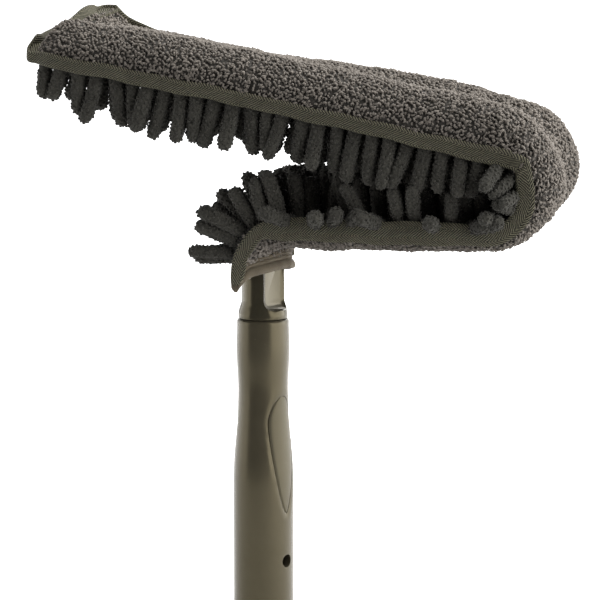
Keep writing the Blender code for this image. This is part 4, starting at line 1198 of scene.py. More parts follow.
def puff_panel(sections):
    """Inflates the terry a little as cloth, held along its foot, and returns the new sections."""
    bm = bmesh.new()
    rings = loft(bm, sections)
    bm.verts.index_update()
    soft = {ring[i].index for ring in rings[1:-1] for i in range(2, PANEL_RING - 1)}
    held = [v.index for ring in rings for v in ring if v.index not in soft]
    piece = add_piece("panel_to_puff", bm, ["terry"])
    group = piece.vertex_groups.new(name="held")
    group.add(held, 1.0, "REPLACE")
    modifier = piece.modifiers.new("cloth", "CLOTH")
    cloth = modifier.settings
    cloth.vertex_group_mass = "held"
    cloth.quality = 6
    cloth.mass = 0.25
    cloth.tension_stiffness = 25
    cloth.compression_stiffness = 25
    cloth.shear_stiffness = 12
    cloth.bending_stiffness = 2.5
    cloth.use_pressure = True
    cloth.uniform_pressure_force = 3.0
    cloth.effector_weights.gravity = 0.0
    modifier.collision_settings.use_collision = False
    scene = bpy.context.scene
    for step in range(1, PUFF_FRAMES + 1):
        scene.frame_set(step)
    depsgraph = bpy.context.evaluated_depsgraph_get()
    after = piece.evaluated_get(depsgraph).data
    count = len(sections[0])
    puffed = []
    for k, section in enumerate(sections):
        row = []
        for i, before in enumerate(section):
            move = after.vertices[k * count + i].co - before
            if move.length > PUFF_CAP:
                move = move * (PUFF_CAP / move.length)
            row.append(before + move)
        puffed.append(row)
    bpy.data.objects.remove(piece)
    scene.frame_set(1)
    return puffed


def sockets_of(modifier, values):
    """Sets a node tree's named inputs by their sockets' identifiers."""
    for item in modifier.node_group.interface.items_tree:
        if item.item_type == "SOCKET" and item.in_out == "INPUT" and item.name in values:
            modifier[item.identifier] = values[item.name]


class Growth(Graph):
    """A geometry tree with named inputs that scatters copies over a mesh."""

    def __init__(self, name, inputs):
        tree = bpy.data.node_groups.new(name, "GeometryNodeTree")
        sockets = {"Geometry": "NodeSocketGeometry", **inputs}
        for label, kind in sockets.items():
            tree.interface.new_socket(label, in_out="INPUT", socket_type=kind)
        tree.interface.new_socket("Geometry", in_out="OUTPUT", socket_type="NodeSocketGeometry")
        super().__init__(tree)
        group = tree.nodes.new("NodeGroupInput")
        self.inputs = {label: Wire(self, group.outputs[label]) for label in sockets}

    def named(self, name, kind="FLOAT"):
        return self.node("GeometryNodeInputNamedAttribute", {"data_type": kind}, {"Name": name})

    def object(self, name):
        return self.node("GeometryNodeObjectInfo", inputs={"Object": self.inputs[name]},
                         output="Geometry")

    def random(self, low, high):
        """A seeded random number for each point, or a vector where the limits are vectors."""
        if isinstance(low, tuple):
            kind, limits, output = "FLOAT_VECTOR", {0: low, 1: high}, 0
        else:
            kind, limits, output = "FLOAT", {2: low, 3: high}, 1
        limits["Seed"] = self.inputs["Seed"]
        return self.node("FunctionNodeRandomValue", {"data_type": kind}, limits, output)

    def scatter(self, mesh, **limits):
        """Points over the mesh, no closer to each other than Spacing."""
        return self.node(
            "GeometryNodeDistributePointsOnFaces", {"distribute_method": "POISSON"},
            {"Mesh": mesh, "Distance Min": self.inputs["Spacing"], "Density Max": POINTS_PER_AREA,
             **limits, "Seed": self.inputs["Seed"]},
        )

    def turned(self, rotation, angles):
        """A rotation turned further about its own axes by some angles."""
        further = self.node("FunctionNodeEulerToRotation", inputs={0: angles})
        return self.node("FunctionNodeRotateRotation", {"rotation_space": "LOCAL"},
                         {0: rotation, 1: further})

    def spun(self, rotation, angle):
        """A rotation spun about its own upright axis."""
        return self.turned(rotation, self.node("ShaderNodeCombineXYZ", inputs={"Z": angle}))

    def copies(self, points, piece, rotation, size):
        """Real copies of a piece on the points."""
        placed = self.node("GeometryNodeInstanceOnPoints", inputs={
            "Points": points, "Instance": piece, "Rotation": rotation, "Scale": size,
        })
        return self.node("GeometryNodeRealizeInstances", inputs={0: placed})

    def joined(self, *parts):
        return self.node("GeometryNodeJoinGeometry", inputs={0: list(parts)})

    def dressed(self, geometry):
        return self.node("GeometryNodeSetMaterial",
                         inputs={"Geometry": geometry, "Material": self.inputs["Finish"]})

    def end(self, geometry):
        group = self.tree.nodes.new("NodeGroupOutput")
        self.tree.links.new(geometry.socket, group.inputs[0])
        return self.tree


def pile_tree():
    """Scatters curled loops over the faces marked as pile and joins them to the ground."""
    g = Growth("terry_pile", {
        "Loop": "NodeSocketObject", "Spacing": "NodeSocketFloat", "Seed": "NodeSocketInt",
        "Finish": "NodeSocketMaterial",
    })
    ground = g.inputs["Geometry"]
    points = g.scatter(ground, **{"Density Factor": g.named("pile")})
    spin = g.random(0.0, 2 * math.pi)
    lean = g.random((-LOOP_LEAN, -LOOP_LEAN, 0.0), (LOOP_LEAN, LOOP_LEAN, 0.0))
    leant = g.turned(points.also("Rotation"), lean)
    size = g.random(*LOOP_SIZES)
    loops = g.copies(points, g.object("Loop"), g.spun(leant, spin), size)
    return g.end(g.joined(g.dressed(loops), ground))


def pile_loop():
    """One curled terry loop: a short plump arch of yarn that leans over."""
    bm = bmesh.new()
    sections = []
    steps = 4
    for i in range(steps + 1):
        angle = math.pi * i / steps
        centre = Vector((LOOP_HALF_SPAN * math.cos(angle), LOOP_SIDEWAYS * math.sin(2 * angle),
                         LOOP_HEIGHT * math.sin(angle)))
        outward = Vector((math.cos(angle), 0, math.sin(angle)))
        plump = YARN_RADIUS if 0 < i < steps else YARN_ROOT_RADIUS
        section = []
        for j in range(4):
            turn = math.pi / 2 * (j + 0.5)
            section.append(centre + outward * (plump * math.cos(turn))
                           + Vector((0, plump * math.sin(turn), 0)))
        sections.append(section)
    loft(bm, sections)
    return hidden_piece("one_pile_loop", bm, "terry")


def make_terry(sections, stations):
    """The terry panel, cut into the stretches, with loops grown all over its outer side."""
    tree = pile_tree()
    loop = pile_loop()
    count = len(sections[0])
    for number, stretch in enumerate(STRETCHES):
        first = min(range(len(stations)), key=lambda k: abs(stations[k] - stretch.start))
        last = min(range(len(stations)), key=lambda k: abs(stations[k] - stretch.stop))
        bm = bmesh.new()
        loft(bm, sections[first:last + 1])
        # The panel's own faces take the ground finish, whose dark tone is painted shade between the loops.
        piece = add_piece(f"terry_{stretch.name}", bm, ["terry_ground", "terry"])
        covered = [1.0 if i <= PANEL_RING else 0.0 for i in range(count)]
        write_attribute(piece.data, "pile", "FLOAT", covered * (last + 1 - first))
        modifier = piece.modifiers.new("pile", "NODES")
        modifier.node_group = tree
        sockets_of(modifier, {"Loop": loop, "Spacing": PILE_SPACING, "Seed": number + 3,
                              "Finish": FINISHES["terry"]})
        settle(piece)
        piece.data.shade_smooth()
        stretch.hang(piece, TERRY_REACH)
        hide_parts(f"terry_{stretch.replaces}")
    bpy.data.objects.remove(loop)


# Finger pads

def fold_room(place):
    """The distance along a finger to the plane half way between the two legs."""
    bend_start = place_at(LOWER_END)
    centre = bend_start.at(0, -U_BEND_RADIUS)
    half_turn = Matrix.Rotation(U_BEND_ANGLE / 2, 3, bend_start.across)
    normal = half_turn @ bend_start.along
    toward = (-place.out).dot(normal)
    if abs(toward) < 0.2:
        return FINGER_LENGTH
    return (centre - place.point).dot(normal) / toward


def mouth_bulge(station, across):
    """How far the pad stands back from the tape plane to pass the neck."""
    fade = clamp(1 - station / BULGE_RUN)
    spread = clamp(1 - (across / BULGE_HALF_WIDTH) ** 2)
    knuckles = KNUCKLE_HEIGHT * smooth((NECK_BEND_END - station) / KNUCKLE_RUN)
    return -(BULGE_DEPTH * fade * fade + knuckles) * spread * spread


def pad_curl(station, across):
    """The pad follows the curl of the closed end only past the spine's tip cap."""
    sag = far_sag(station, across)
    past_cap = smooth((station - ROUTE_END + SPINE_TIP_INSET) / 0.012)
    return (corner_curl(station, across) + sag) * past_cap - sag


def pad_point(station, across, out):
    """A point of the pad, a distance out from its upper face."""
    lift = mouth_bulge(station, across) + pad_curl(station, across)
    return place_at(station).at(across, out + lift, -end_slant(station, across))


class Finger:
    """Where one chenille finger grows, the way it points, its length and its own numbers."""

    def __init__(self, station, across, scatter):
        """Draws its lean, length and girth from scatter, and keeps it within the fold's room."""
        place = place_at(station)
        room = fold_room(place) if station > NECK_BEND_END else FINGER_LENGTH
        in_bend = LOWER_END < station < U_BEND_END
        if in_bend:
            room = BEND_FINGER_ROOM
        squeeze = clamp((FINGER_LENGTH - room) / FINGER_LENGTH)
        side = across / PAD_HALF_WIDTH
        tilt = side * mix(FAN_TILT, SQUEEZE_TILT, squeeze) + scatter.gauss(0, 0.07)
        reach = FINGER_LENGTH * scatter.uniform(*FINGER_REACHES)
        reach *= mix(1.0, TIP_FINGER_SHARE, eased(station - ROUTE_END, -TIP_FINGER_RUN, TIP_FINGER_RUN))
        reach *= mix(MOUTH_FINGER_SHARE, 1.0, smooth(station / MOUTH_FINGER_RUN))
        lean = scatter.gauss(0, 0.10)
        in_fold = NECK_BEND_END < station < U_BEND_END
        if abs(side) > SPILLED_SIDE and in_fold and (in_bend or scatter.random() < SPILLED_SHARE):
            tilt = math.copysign(math.radians(scatter.uniform(*SPILLED_TILTS)), side)
            lean = scatter.choice((-1, 1)) * scatter.uniform(*SPILLED_LEANS)
            reach *= NEAR_SPILLED_REACH if side < 0 else FAR_SPILLED_REACH
        if in_bend:
            lean *= 0.4
        down = -place.out * math.cos(tilt) + place.across * math.sin(tilt)
        self.direction = (Matrix.Rotation(lean, 3, place.across) @ down).normalized()
        self.root = pad_point(station, across, -PAD_THICKNESS * 0.6)
        reach = min(reach, room / max(0.14, math.cos(tilt)))
        self.length = max(FINGER_LEAST, reach - FINGER_CLEAR)
        self.bend = scatter.uniform(0.0, 2 * math.pi)
        self.girth = scatter.uniform(*FINGER_GIRTHS) * (BEND_FINGER_GIRTH if in_bend else 1.0)


def all_fingers():
    """Staggered rows of fingers over each part of the pad, as (station, Finger)."""
    scatter = random.Random(7)
    found = []
    for start, stop, rows in FINGER_ROWS:
        pitch = (stop - start) / rows
        for j in range(PAD_COLUMNS):
            odd = j % 2
            for i in range(rows):
                station = start + pitch * (i + 0.75 - 0.5 * odd)
                station += scatter.uniform(-0.10, 0.10) * pitch
                half = sleeve_half(PAD_HALF_WIDTH, station)
                across = half * ((2 * j + 1) / PAD_COLUMNS - 1) + scatter.uniform(-0.0006, 0.0006)
                station = min(station, ROUTE_END - 0.0030)
                found.append((station, Finger(station, across, scatter)))
    return found


def finger_mesh():
    """One finger, one unit long: a plump rod with a domed tip, its sections a little uneven."""
    bm = bmesh.new()
    sides = 8
    profile = [(0.0, 0.92), (0.16, 1.02), (0.34, 0.97), (0.52, 1.04), (0.70, 0.98), (0.85, 1.02),
               (0.94, 0.80), (0.99, 0.42)]
    loft(bm, [[Vector((x, y, height)) for x, y in circle(girth, sides)] for height, girth in profile])
    return hidden_piece("one_finger", bm, "chenille")


def tuft_mesh():
    """One tuft of chenille pile: a small rounded lump half sunk in its finger."""
    bm = bmesh.new()
    bmesh.ops.create_icosphere(bm, subdivisions=1, radius=TUFT_RADIUS)
    bmesh.ops.delete(bm, geom=[v for v in bm.verts if v.co.z < -0.0005], context="VERTS")
    bmesh.ops.scale(bm, vec=(1.0, 0.82, 0.85), verts=bm.verts)
    bmesh.ops.translate(bm, vec=(0, 0, 0.0001), verts=bm.verts)
    bmesh.ops.contextual_create(bm, geom=[e for e in bm.edges if e.is_boundary])
    return hidden_piece("one_tuft", bm, "chenille")


def finger_tree():
    """Stands a finger on each point, bends it a little and covers it with tufts."""
    g = Growth("chenille_fingers", {
        "Finger": "NodeSocketObject", "Tuft": "NodeSocketObject", "Pad": "NodeSocketObject",
        "Spacing": "NodeSocketFloat", "Droop": "NodeSocketFloat", "Seed": "NodeSocketInt",
        "Finish": "NodeSocketMaterial",
    })
    facing = g.node("FunctionNodeAlignRotationToVector", {"axis": "Z"},
                    {"Vector": g.named("direction", "FLOAT_VECTOR")})
    height = g.node("ShaderNodeSeparateXYZ", inputs={0: g.node("GeometryNodeInputPosition")}, output=2)
    marked = g.node("GeometryNodeStoreNamedAttribute", {"data_type": "FLOAT", "domain": "POINT"},
                    {"Geometry": g.object("Finger"), "Name": "rise", "Value": height})
    real = g.copies(g.inputs["Geometry"], marked, g.spun(facing, g.named("bend")),
                    g.named("size", "FLOAT_VECTOR"))
    rise = g.named("rise")
    sway = g.node("ShaderNodeVectorMath", {"operation": "SCALE"},
                  {0: g.named("sway", "FLOAT_VECTOR"), "Scale": rise * rise * g.inputs["Droop"]})
    bent = g.node("GeometryNodeSetPosition", inputs={"Geometry": real, "Offset": sway})
    points = g.scatter(bent)
    rotation = g.spun(points.also("Rotation"), g.random(0.0, 2 * math.pi))
    pile = g.copies(points, g.object("Tuft"), rotation, g.random(*TUFT_SIZES))
    return g.end(g.joined(g.dressed(g.joined(bent, pile)), g.object("Pad")))


def pad_mesh(name, start, stop):
    """The backing slab of the pad along one stretch, with its ribs' direction in its UVs."""
    bm = bmesh.new()
    sections = []
    uv_rows = []
    columns = 14
    for station in stations_between(start, stop, 0.005):
        half = sleeve_half(PAD_HALF_WIDTH, station)
        places = [half * (2 * j / columns - 1) for j in range(columns + 1)]
        front = [(a, -PAD_THICKNESS) for a in places]
        back = [(a, 0.0) for a in reversed(places)]
        sections.append([pad_point(station, a, o) for a, o in front + back])
        uv_rows.append([(station, a) for a, o in front + back])
    loft(bm, sections, uv_rows)
    return add_piece(name, bm, ["base_knit"], smooth_faces=False)


def write_attribute(mesh, name, kind, values):
    """Stores a value, or a vector, for each point of the mesh."""
    attribute = mesh.attributes.new(name, kind, "POINT")
    if kind == "FLOAT":
        attribute.data.foreach_set("value", values)
    else:
        attribute.data.foreach_set("vector", [x for vector in values for x in vector])


def make_fingers():
    """The finger pad, cut into the stretches: its backing with the fingers that grow from it."""
    tree = finger_tree()
    finger = finger_mesh()
    tuft = tuft_mesh()
    fingers = all_fingers()
    for number, stretch in enumerate(STRETCHES):
        mine = [f for station, f in fingers if stretch.start <= station < stretch.stop]
        pad = pad_mesh(f"pad_{stretch.name}", stretch.start, stretch.stop)
        mesh = bpy.data.meshes.new(f"fingers_{stretch.name}")
        mesh.from_pydata([f.root for f in mine], [], [])
        write_attribute(mesh, "direction", "FLOAT_VECTOR", [f.direction for f in mine])
        write_attribute(mesh, "size", "FLOAT_VECTOR",
                        [(FINGER_RADIUS * f.girth, FINGER_RADIUS * f.girth, f.length) for f in mine])
        write_attribute(mesh, "bend", "FLOAT", [f.bend for f in mine])
        write_attribute(mesh, "sway", "FLOAT_VECTOR",
                        [(math.cos(f.bend), math.sin(f.bend), -0.4) for f in mine])
        piece = put_in_scene(f"fingers_{stretch.name}", mesh)
        modifier = piece.modifiers.new("fingers", "NODES")
        modifier.node_group = tree
        sockets_of(modifier, {"Finger": finger, "Tuft": tuft, "Pad": pad, "Spacing": TUFT_SPACING,
                              "Droop": FINGER_DROOP, "Seed": number + 11, "Finish": FINISHES["chenille"]})
        settle(piece)
        bpy.data.objects.remove(pad)
        stretch.hang(piece, FINGER_REACH)
        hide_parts(f"fingers_{stretch.replaces}")
    bpy.data.objects.remove(finger)
    bpy.data.objects.remove(tuft)


# Tapes and hem

def tape_half_width(station):
    """Half the width that the tape shows: broad on the lower leg, narrower at both ends."""
    past_neck = eased(station - NECK_BEND_END, -0.006, 0.020)
    broad = past_neck * (1 - eased(station - LOWER_END, -0.030, 0.040))
    narrow = eased(station, U_BEND_END, 0.050)
    return TAPE_HALF_WIDTH + TAPE_NECK_GAIN * past_neck + TAPE_LOWER_GAIN * broad - TAPE_UPPER_LOSS * narrow


def tape_waver(station, side):
    """The small unevenness of a sewn tape."""
    return 0.00035 * math.sin(station * 210 + side) + 0.00025 * math.sin(station * 97 + 2 * side)


def kink(station, side):
    """How strongly the tape folds at the bend's inner corner: 1 at the fold, 0 away from it."""
    angle = (station - LOWER_END - U_BEND_LENGTH * KINK_PLACE) / U_BEND_RADIUS
    return clamp(1 - abs(angle) / KINK_REACH) ** 2 * (1.0 if side < 0 else 0.5)


def tape_edge(half, crease=0.0):
    """The tape's section as (thickness, width) points with its place across the weave."""
    points = []
    steps = 10
    for face in (1, -1):
        for i in range(steps + 1):
            share = face * (2 * i / steps - 1)
            round_off = math.sqrt(max(0.0, 1 - abs(share) ** 6))
            thick = TAPE_THICKNESS / 2 * (0.30 + 0.70 * round_off)
            points.append((face * thick + crease * math.cos(share * 2.2), half * share, half * share))
    return points


class TapeWay:
    """A tape's path: its middle, the way its face looks and the way its width runs."""

    def __init__(self):
        self.sections = []
        self.uv_rows = []
        self.run = 0.0

    def add(self, middle, face, width, half, crease=0.0):
        points = tape_edge(half, crease)
        self.sections.append([middle + face * t + width * w for t, w, v in points])
        if len(self.sections) > 1:
            self.run += (middle - self.last).length
        self.last = middle
        self.uv_rows.append([(self.run, v) for t, w, v in points])

    def piece(self, name):
        bm = bmesh.new()
        loft(bm, self.sections, self.uv_rows)
        piece = add_piece(name, bm, ["edge_tape"])
        piece.data.set_sharp_from_angle(angle=TAPE_SHARP_ANGLE)
        return piece


def tape_centre(station, side):
    """Where the middle of an edge tape lies, as (across, out)."""
    across = side * (sleeve_half(PANEL_HALF_WIDTH, station) + TAPE_GAP + TAPE_THICKNESS / 2)
    lift = corner_curl(station, across) + tape_waver(station, side)
    shift = NECK_TAPE_SHIFT if side < 0 else -NECK_TAPE_SHIFT
    drawn_in = shift * (1 - smooth(station / (NECK_BEND_END + 0.006)))
    if side < 0:
        drawn_in += NECK_TAPE_TUCK * hump(station - MID_NECK, 0.020)
    return across, TAPE_MIDDLE + lift + drawn_in + KINK_RISE * kink(station, side)


def side_tape(stretch, side):
    """The edge tape along one stretch, with its rounded tail where it begins at the mouth."""
    way = TapeWay()
    if stretch.name == "mouth":
        start = place_at(0.0)
        tail = NEAR_TAIL if side < 0 else FAR_TAIL
        across, out = tape_centre(0.0, side)
        for angle in quarter_turn(8)[:-1]:
            share = math.cos(angle)
            half = tape_half_width(0.0) * math.sqrt(1 - (0.985 * share) ** 4) * (1 - 0.15 * share)
            middle = start.at(across, out - TAIL_SLOPE * share, -tail * share)
            way.add(middle, start.across * side, start.out, half)
    for station in stations_between(stretch.start, stretch.stop, 0.0018):
        place = place_at(station)
        across, out = tape_centre(station, side)
        fold = kink(station, side)
        crease = CREASE_HEIGHT * fold * math.sin(station * 2 * math.pi / CREASE_PITCH)
        way.add(place.at(across, out), place.across * side, place.out, tape_half_width(station), crease)
    return way


def make_tapes():
    for stretch in STRETCHES[:-1]:
        for side, word in SIDES:
            piece = side_tape(stretch, side).piece(f"tape_{stretch.name}_{word}")
            stretch.hang(piece, TAPE_REACH)
            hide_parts(f"binding_{stretch.replaces}_{word}")


def end_turn(across):
    """How far the end tape lies over: nearly flat on the near side, nearly upright at the far corner."""
    return mix(NEAR_END_TURN, FAR_END_TURN, smooth(across / PANEL_HALF_WIDTH * 0.9 + 0.1))


def tip_path():
    """The tape's way round the closed end from near to far: across, station, turn, corner angle.

    Its face looks outward along the sides and round the corners. Between them it lies over,
    most of all on the near side.
    """
    side = sleeve_half(PANEL_HALF_WIDTH, ROUTE_END) + TAPE_GAP + TAPE_THICKNESS / 2
    outer = ROUTE_END + TAPE_GAP + END_TAPE_WIDTH
    radius = END_CORNER_RADIUS
    half = []
    for station in stations_between(STRETCHES[-1].start, outer - radius, 0.0025):
        across, _ = tape_centre(min(station, ROUTE_END), -1)
        half.append((across, station, 0.0, 0.0))
    for angle in quarter_turn(8, 1):
        half.append((-side + radius * (1 - math.cos(angle)), outer - radius * (1 - math.sin(angle)), 0.0,
                     angle))
    steps = 16
    for i in range(1, steps + 1):
        across = (radius - side) * (1 - i / steps)
        half.append((across, outer, smooth((across + side - radius) / END_TURN_RUN), math.pi / 2))
    far = [(-across, station, share, -angle) for across, station, share, angle in reversed(half[:-1])]
    path = []
    for across, station, share, angle in half + far:
        turn = end_turn(across) * share
        path.append((across, station - END_TAPE_WIDTH / 2 * math.sin(turn), turn, angle))
    return path


def end_web():
    """The flat double layer between the closed end and the tape round it, as closed sections."""
    side = sleeve_half(PANEL_HALF_WIDTH, ROUTE_END) + WEB_OVERHANG
    place = place_at(ROUTE_END)
    sections = []
    uv_rows = []
    for i in range(33):
        across = side * (2 * i / 32 - 1)
        inside = clamp((side - abs(across)) / END_CORNER_RADIUS)
        draw = END_CORNER_RADIUS * (1 - math.sqrt(1 - (1 - inside) ** 2))
        laid = smooth((side - END_CORNER_RADIUS - abs(across)) / END_TURN_RUN)
        covered = END_TAPE_WIDTH * math.sin(end_turn(across) * laid)
        reach = max(WEB_LEAST, TAPE_GAP + END_TAPE_WIDTH - draw - covered)
        lift = TAPE_MIDDLE + corner_curl(ROUTE_END, across)
        corners = [(-WEB_TUCK, -0.0007), (reach, -0.0005), (reach, 0.0005), (-WEB_TUCK, 0.0007)]
        drawn = end_slant(ROUTE_END, across)
        sections.append([place.at(across, lift + o, along - drawn) for along, o in corners])
        uv_rows.append([(across, along) for along, o in corners])
    return sections, uv_rows


def make_tip_tape():
    """The tape along both edges of the last stretch and round its closed end, in one piece."""
    way = TapeWay()
    corner = (sleeve_half(PANEL_HALF_WIDTH, ROUTE_END), ROUTE_END + END_TAPE_WIDTH)
    for across, station, turn, angle in tip_path():
        place = place_at(min(station, ROUTE_END))
        side = -1 if across < 0 else 1
        lift = corner_curl(min(station, ROUTE_END), across) + tape_waver(station + abs(across), side)
        along = max(0.0, station - ROUTE_END) - end_slant(min(station, ROUTE_END), across)
        laid = turn / end_turn(across)
        low = FAR_END_LOW * smooth(across / PANEL_HALF_WIDTH)
        lift += END_TAPE_WIDTH / 2 * math.cos(turn) * smooth(laid) * (1 - low)
        outward = place.across * (side * math.cos(angle)) + place.along * abs(math.sin(angle))
        face = outward * math.cos(turn) - place.out * math.sin(turn)
        width = place.out * math.cos(turn) + outward * math.sin(turn)
        half = mix(tape_half_width(station), END_TAPE_WIDTH / 2, laid)
        from_corner = math.hypot(abs(across) - corner[0], station - corner[1])
        pinch = half * CORNER_PINCH * hump(from_corner, CORNER_PINCH_REACH)
        middle = place.at(across, TAPE_MIDDLE + lift - pinch, along)
        way.add(middle, face, width, half - pinch)
    bm = bmesh.new()
    loft(bm, *end_web())
    web = add_piece("end_web", bm, ["edge_tape"])
    piece = way.piece("tape_tip")
    carve(piece, [web], "UNION")
    piece.data.set_sharp_from_angle(angle=TAPE_SHARP_ANGLE)
    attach(piece, "upper_arm")
    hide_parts("binding_upper_near", "binding_upper_far", "binding_end")


def hem_middle(x, y):
    """The height of the hem's middle: raised at the front, hanging at the pinched near corner."""
    if x > 0:
        return mouth_slant(y) - 0.0012
    share = min(1.0, abs(y) / HEM_HALF_WIDTH)
    return -HEM_DROP - (HEM_CORNER_DROP * share ** 6 if y < 0 else HEM_FAR_DROP * share ** 2)


def hem_bulge(share):
    """How far the hem stands out at a share of its height: a plump roll below two thin folds."""
    for low, high, rise in HEM_ROLLS:
        if share <= high:
            place = 2 * (share - low) / (high - low) - 1
            return HEM_WALL + rise * math.sqrt(max(0.0, 1 - place * place))
    return HEM_WALL


def make_hem():
    """A turned-over hem with rolled ridges round the sleeve's mouth."""
    bm = bmesh.new()
    sections = []
    uv_rows = []
    sides = 96
    steps = 38
    profile = [(i / steps, hem_bulge(i / steps)) for i in range(steps + 1)]
    profile += [(0.92, 0.0), (0.08, 0.0)]
    for i in range(sides):
        angle = 2 * math.pi * i / sides
        y = HEM_HALF_WIDTH * math.sin(angle)
        depth = HEM_FRONT if math.cos(angle) > 0 else -HEM_BACK
        x = depth * max(0.0, 1 - abs(y / HEM_HALF_WIDTH) ** HEM_POWER)
        outward = Vector((math.copysign(abs(math.cos(angle)) ** 0.5, depth), math.sin(angle) ** 3, 0))
        outward.normalize()
        middle = Vector((x, y, SLEEVE_START_HEIGHT + hem_middle(depth, y)))
        lean = outward * -HEM_LEAN + Vector((0, 0, 1))
        wrinkle = 0.00025 * math.sin(9 * angle) + 0.00018 * math.sin(23 * angle + 1)
        section = []
        for share, grow in profile:
            section.append(middle + lean * (HEM_HEIGHT * (share - 0.5)) + outward * (grow + wrinkle))
        sections.append(section)
        uv_rows.append([(HEM_GIRTH * i / sides, HEM_HEIGHT * share) for share, grow in profile])
    loft(bm, sections + sections[:1], uv_rows + uv_rows[:1], cap=False)
    bmesh.ops.remove_doubles(bm, verts=bm.verts, dist=1e-6)
    piece = add_piece("hem", bm, ["hem_cloth"])
    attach(piece, "root")
    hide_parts("sleeve_hem")


# Filling and wires

def foam_share(station, across):
    """The share of its full height that the foam keeps under the panel."""
    room = PANEL_CROWN * fullness(station, across) - PANEL_WALL
    return max(0.12, room / (PANEL_CROWN - PANEL_WALL))


def mirrored(points):
    """The points of the other side, in turned order."""
    return [(-across, out) for across, out in reversed(points)]


def make_foam():
    """Foam block between the spine and the terry, one piece for each stretch."""
    for stretch in STRETCHES[1:]:
        start = max(stretch.start, NECK_BEND_END + 0.0003)
        stop = min(stretch.stop, ROUTE_END - SPINE_TIP_INSET - 0.010)
        if stop - start < 0.004:
            continue
        bm = bmesh.new()
        sections = []
        for station in stations_between(start, stop, 0.006):
            place = place_at(station)
            shoulders = [*FOAM_SHOULDER, (0.0, FOAM_HEIGHT), *mirrored(FOAM_SHOULDER)]
            top = [(a, o * foam_share(station, a)) for a, o in shoulders]
            section = [*FOAM_GROOVE, *top, *mirrored(FOAM_GROOVE)]
            sections.append([place.at(a, o + corner_curl(station, a)) for a, o in section])
        loft(bm, sections)
        piece = add_piece(f"foam_{stretch.name}", bm, ["foam"])
        piece.data.set_sharp_from_angle(angle=SHARP_ANGLE)
        stretch.hang(piece, CORE_REACH)
        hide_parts(f"foam_{stretch.replaces}" if stretch.replaces != "neck" else "foam_lower")


def make_wires():
    """The steel wires along both sides of the spine."""
    for stretch in STRETCHES:
        stop = min(stretch.stop, ROUTE_END - SPINE_TIP_INSET)
        for side, word in SIDES:
            bm = bmesh.new()
            places = [(place_at(s), 0.0) for s in stations_between(stretch.start, stop, 0.003)]
            if stretch.name == "mouth":
                places.insert(0, (place_at(0.0), 0.0003 - WIRE_ROOT_DEPTH))
            ring = [(side * WIRE_ACROSS + x, STRIP_OUT + y) for x, y in circle(WIRE_RADIUS, 8)]
            loft(bm, [[place.at(a, o, extra) for a, o in ring] for place, extra in places])
            piece = add_piece(f"wire_{stretch.name}_{word}", bm, ["steel"])
            stretch.hang(piece, CORE_REACH)
            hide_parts(f"wire_{stretch.replaces}_{word}")


def dress_solids():
    """Finishes for the rigid pieces that keep their own solids."""
    for name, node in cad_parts.items():
        finish = "steel" if name in ("neck_screw", "neck_washer", "spine_pin") else "spine_plastic"
        node.data.materials.clear()
        node.data.materials.append(FINISHES[finish])


# Stage

def make_stage():
    """A floor that curves up into a backdrop, white to the camera and grey to the object."""
    finish = Finish("pale_floor", 0.9)
    camera = finish.node("ShaderNodeLightPath", output="Is Camera Ray")
    seen = camera + camera.also("Is Glossy Ray") + camera.also("Is Transmission Ray")
    seen = seen.call("MINIMUM", 1.0)
    finish.shader.inputs["Emission Strength"].default_value = 1.0
    reach = finish.node("ShaderNodeVectorMath", {"operation": "LENGTH"}, {0: finish.place()}, output=1)
    far = ((reach - FLOOR_CLEAR) / FLOOR_FADE).call("MINIMUM", 1.0).call("MAXIMUM", 0.0)
    glow = finish.blend(far, (0.64, 0.64, 0.64), (1.0, 1.0, 1.0))
    finish.wear(Base_Color=finish.blend(seen, (0.42, 0.42, 0.42), (0.90, 0.90, 0.90)),
                Emission_Color=finish.blend(seen, (0.0, 0.0, 0.0), glow))
    bm = bmesh.new()
    rows = [(FLOOR_FRONT, 0.0), (FLOOR_BACK, 0.0)]
    for angle in quarter_turn(8, 1):
        rows.append((FLOOR_BACK + BACKDROP_CURVE * math.sin(angle), BACKDROP_CURVE * (1 - math.cos(angle))))
    rows.append((FLOOR_BACK + BACKDROP_CURVE, BACKDROP_HEIGHT))
    lines = [[bm.verts.new((x, y, z - FLOOR_DROP)) for x in (-FLOOR_HALF, FLOOR_HALF)] for y, z in rows]
    for first, second in zip(lines, lines[1:]):
        bm.faces.new((first[0], first[1], second[1], second[0]))
    mesh = bpy.data.meshes.new("floor")
    bm.to_mesh(mesh)
    bm.free()
    mesh.materials.append(finish.material)
    mesh.shade_smooth()
    put_in_scene("floor", mesh)


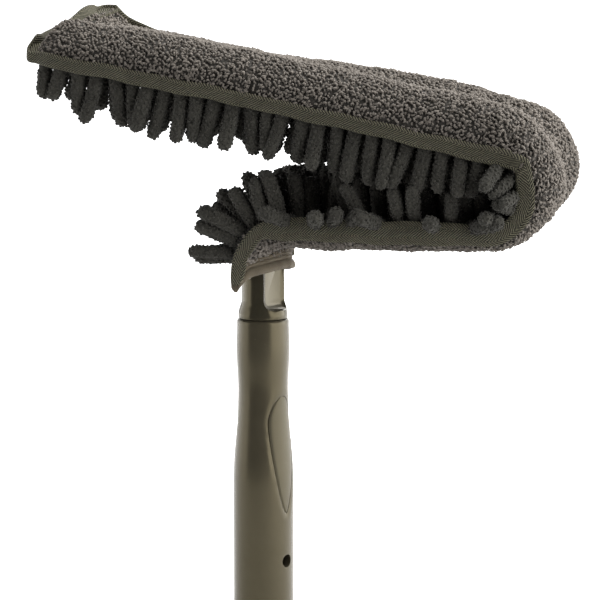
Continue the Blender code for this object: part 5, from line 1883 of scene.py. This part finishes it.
def add_lamp(name, azimuth, elevation, distance, size, power):
    """A soft lamp that stands round the object and shines at its middle."""
    a = math.radians(azimuth)
    e = math.radians(elevation)
    back = Vector((math.sin(a) * math.cos(e), -math.cos(a) * math.cos(e), math.sin(e)))
    data = bpy.data.lights.new(name, "AREA")
    data.shape = "RECTANGLE"
    data.size, data.size_y = size
    data.energy = power
    lamp = put_in_scene(name, data)
    lamp.location = Vector(LAMP_TARGET) + back * distance
    lamp.rotation_euler = (-back).to_track_quat("-Z", "Y").to_euler()


def make_lights():
    """The lamps, and a world that is dim to the object and white to the camera."""
    for lamp in LAMPS:
        add_lamp(*lamp)
    world = bpy.data.worlds.new("studio")
    world.use_nodes = True
    sky = Graph(world.node_tree)
    seen = sky.node("ShaderNodeLightPath", output="Is Camera Ray")
    shown = sky.blend(seen, (0.08, 0.08, 0.08), (1.0, 1.0, 1.0))
    sky.tree.links.new(shown.socket, sky.tree.nodes["Background"].inputs["Color"])
    bpy.context.scene.world = world
    bpy.context.scene.view_settings.view_transform = "Standard"


def make_camera():
    """The camera, where the photographer stood."""
    a = CAMERA_AZIMUTH
    e = CAMERA_ELEVATION
    right = Vector((math.cos(a), math.sin(a), 0))
    up = Vector((-math.sin(a) * math.sin(e), math.cos(a) * math.sin(e), math.cos(e)))
    back = right.cross(up)
    data = bpy.data.cameras.new("camera")
    data.lens = CAMERA_LENS
    data.clip_start = 0.05
    camera = put_in_scene("camera", data)
    target = Vector((0, 0, VIEW_HEIGHT)) + right * VIEW_RIGHT + up * VIEW_UP
    basis = Matrix((right, up, back)).transposed()
    camera.matrix_world = Matrix.Translation(target + back * CAMERA_DISTANCE) @ basis.to_4x4()
    bpy.context.scene.camera = camera


def build():
    """Makes every piece, then the floor and the lamps."""
    make_camera()
    dress_solids()
    make_grip()
    make_inlay(0.0, "right")
    make_inlay(math.pi, "left")
    make_neck()
    stations = panel_stations()
    sections = panel_points(stations)
    sections = puff_panel(sections)
    make_terry(sections, stations)
    make_fingers()
    make_tapes()
    make_tip_tape()
    make_hem()
    make_foam()
    make_wires()
    make_stage()
    make_lights()


build()
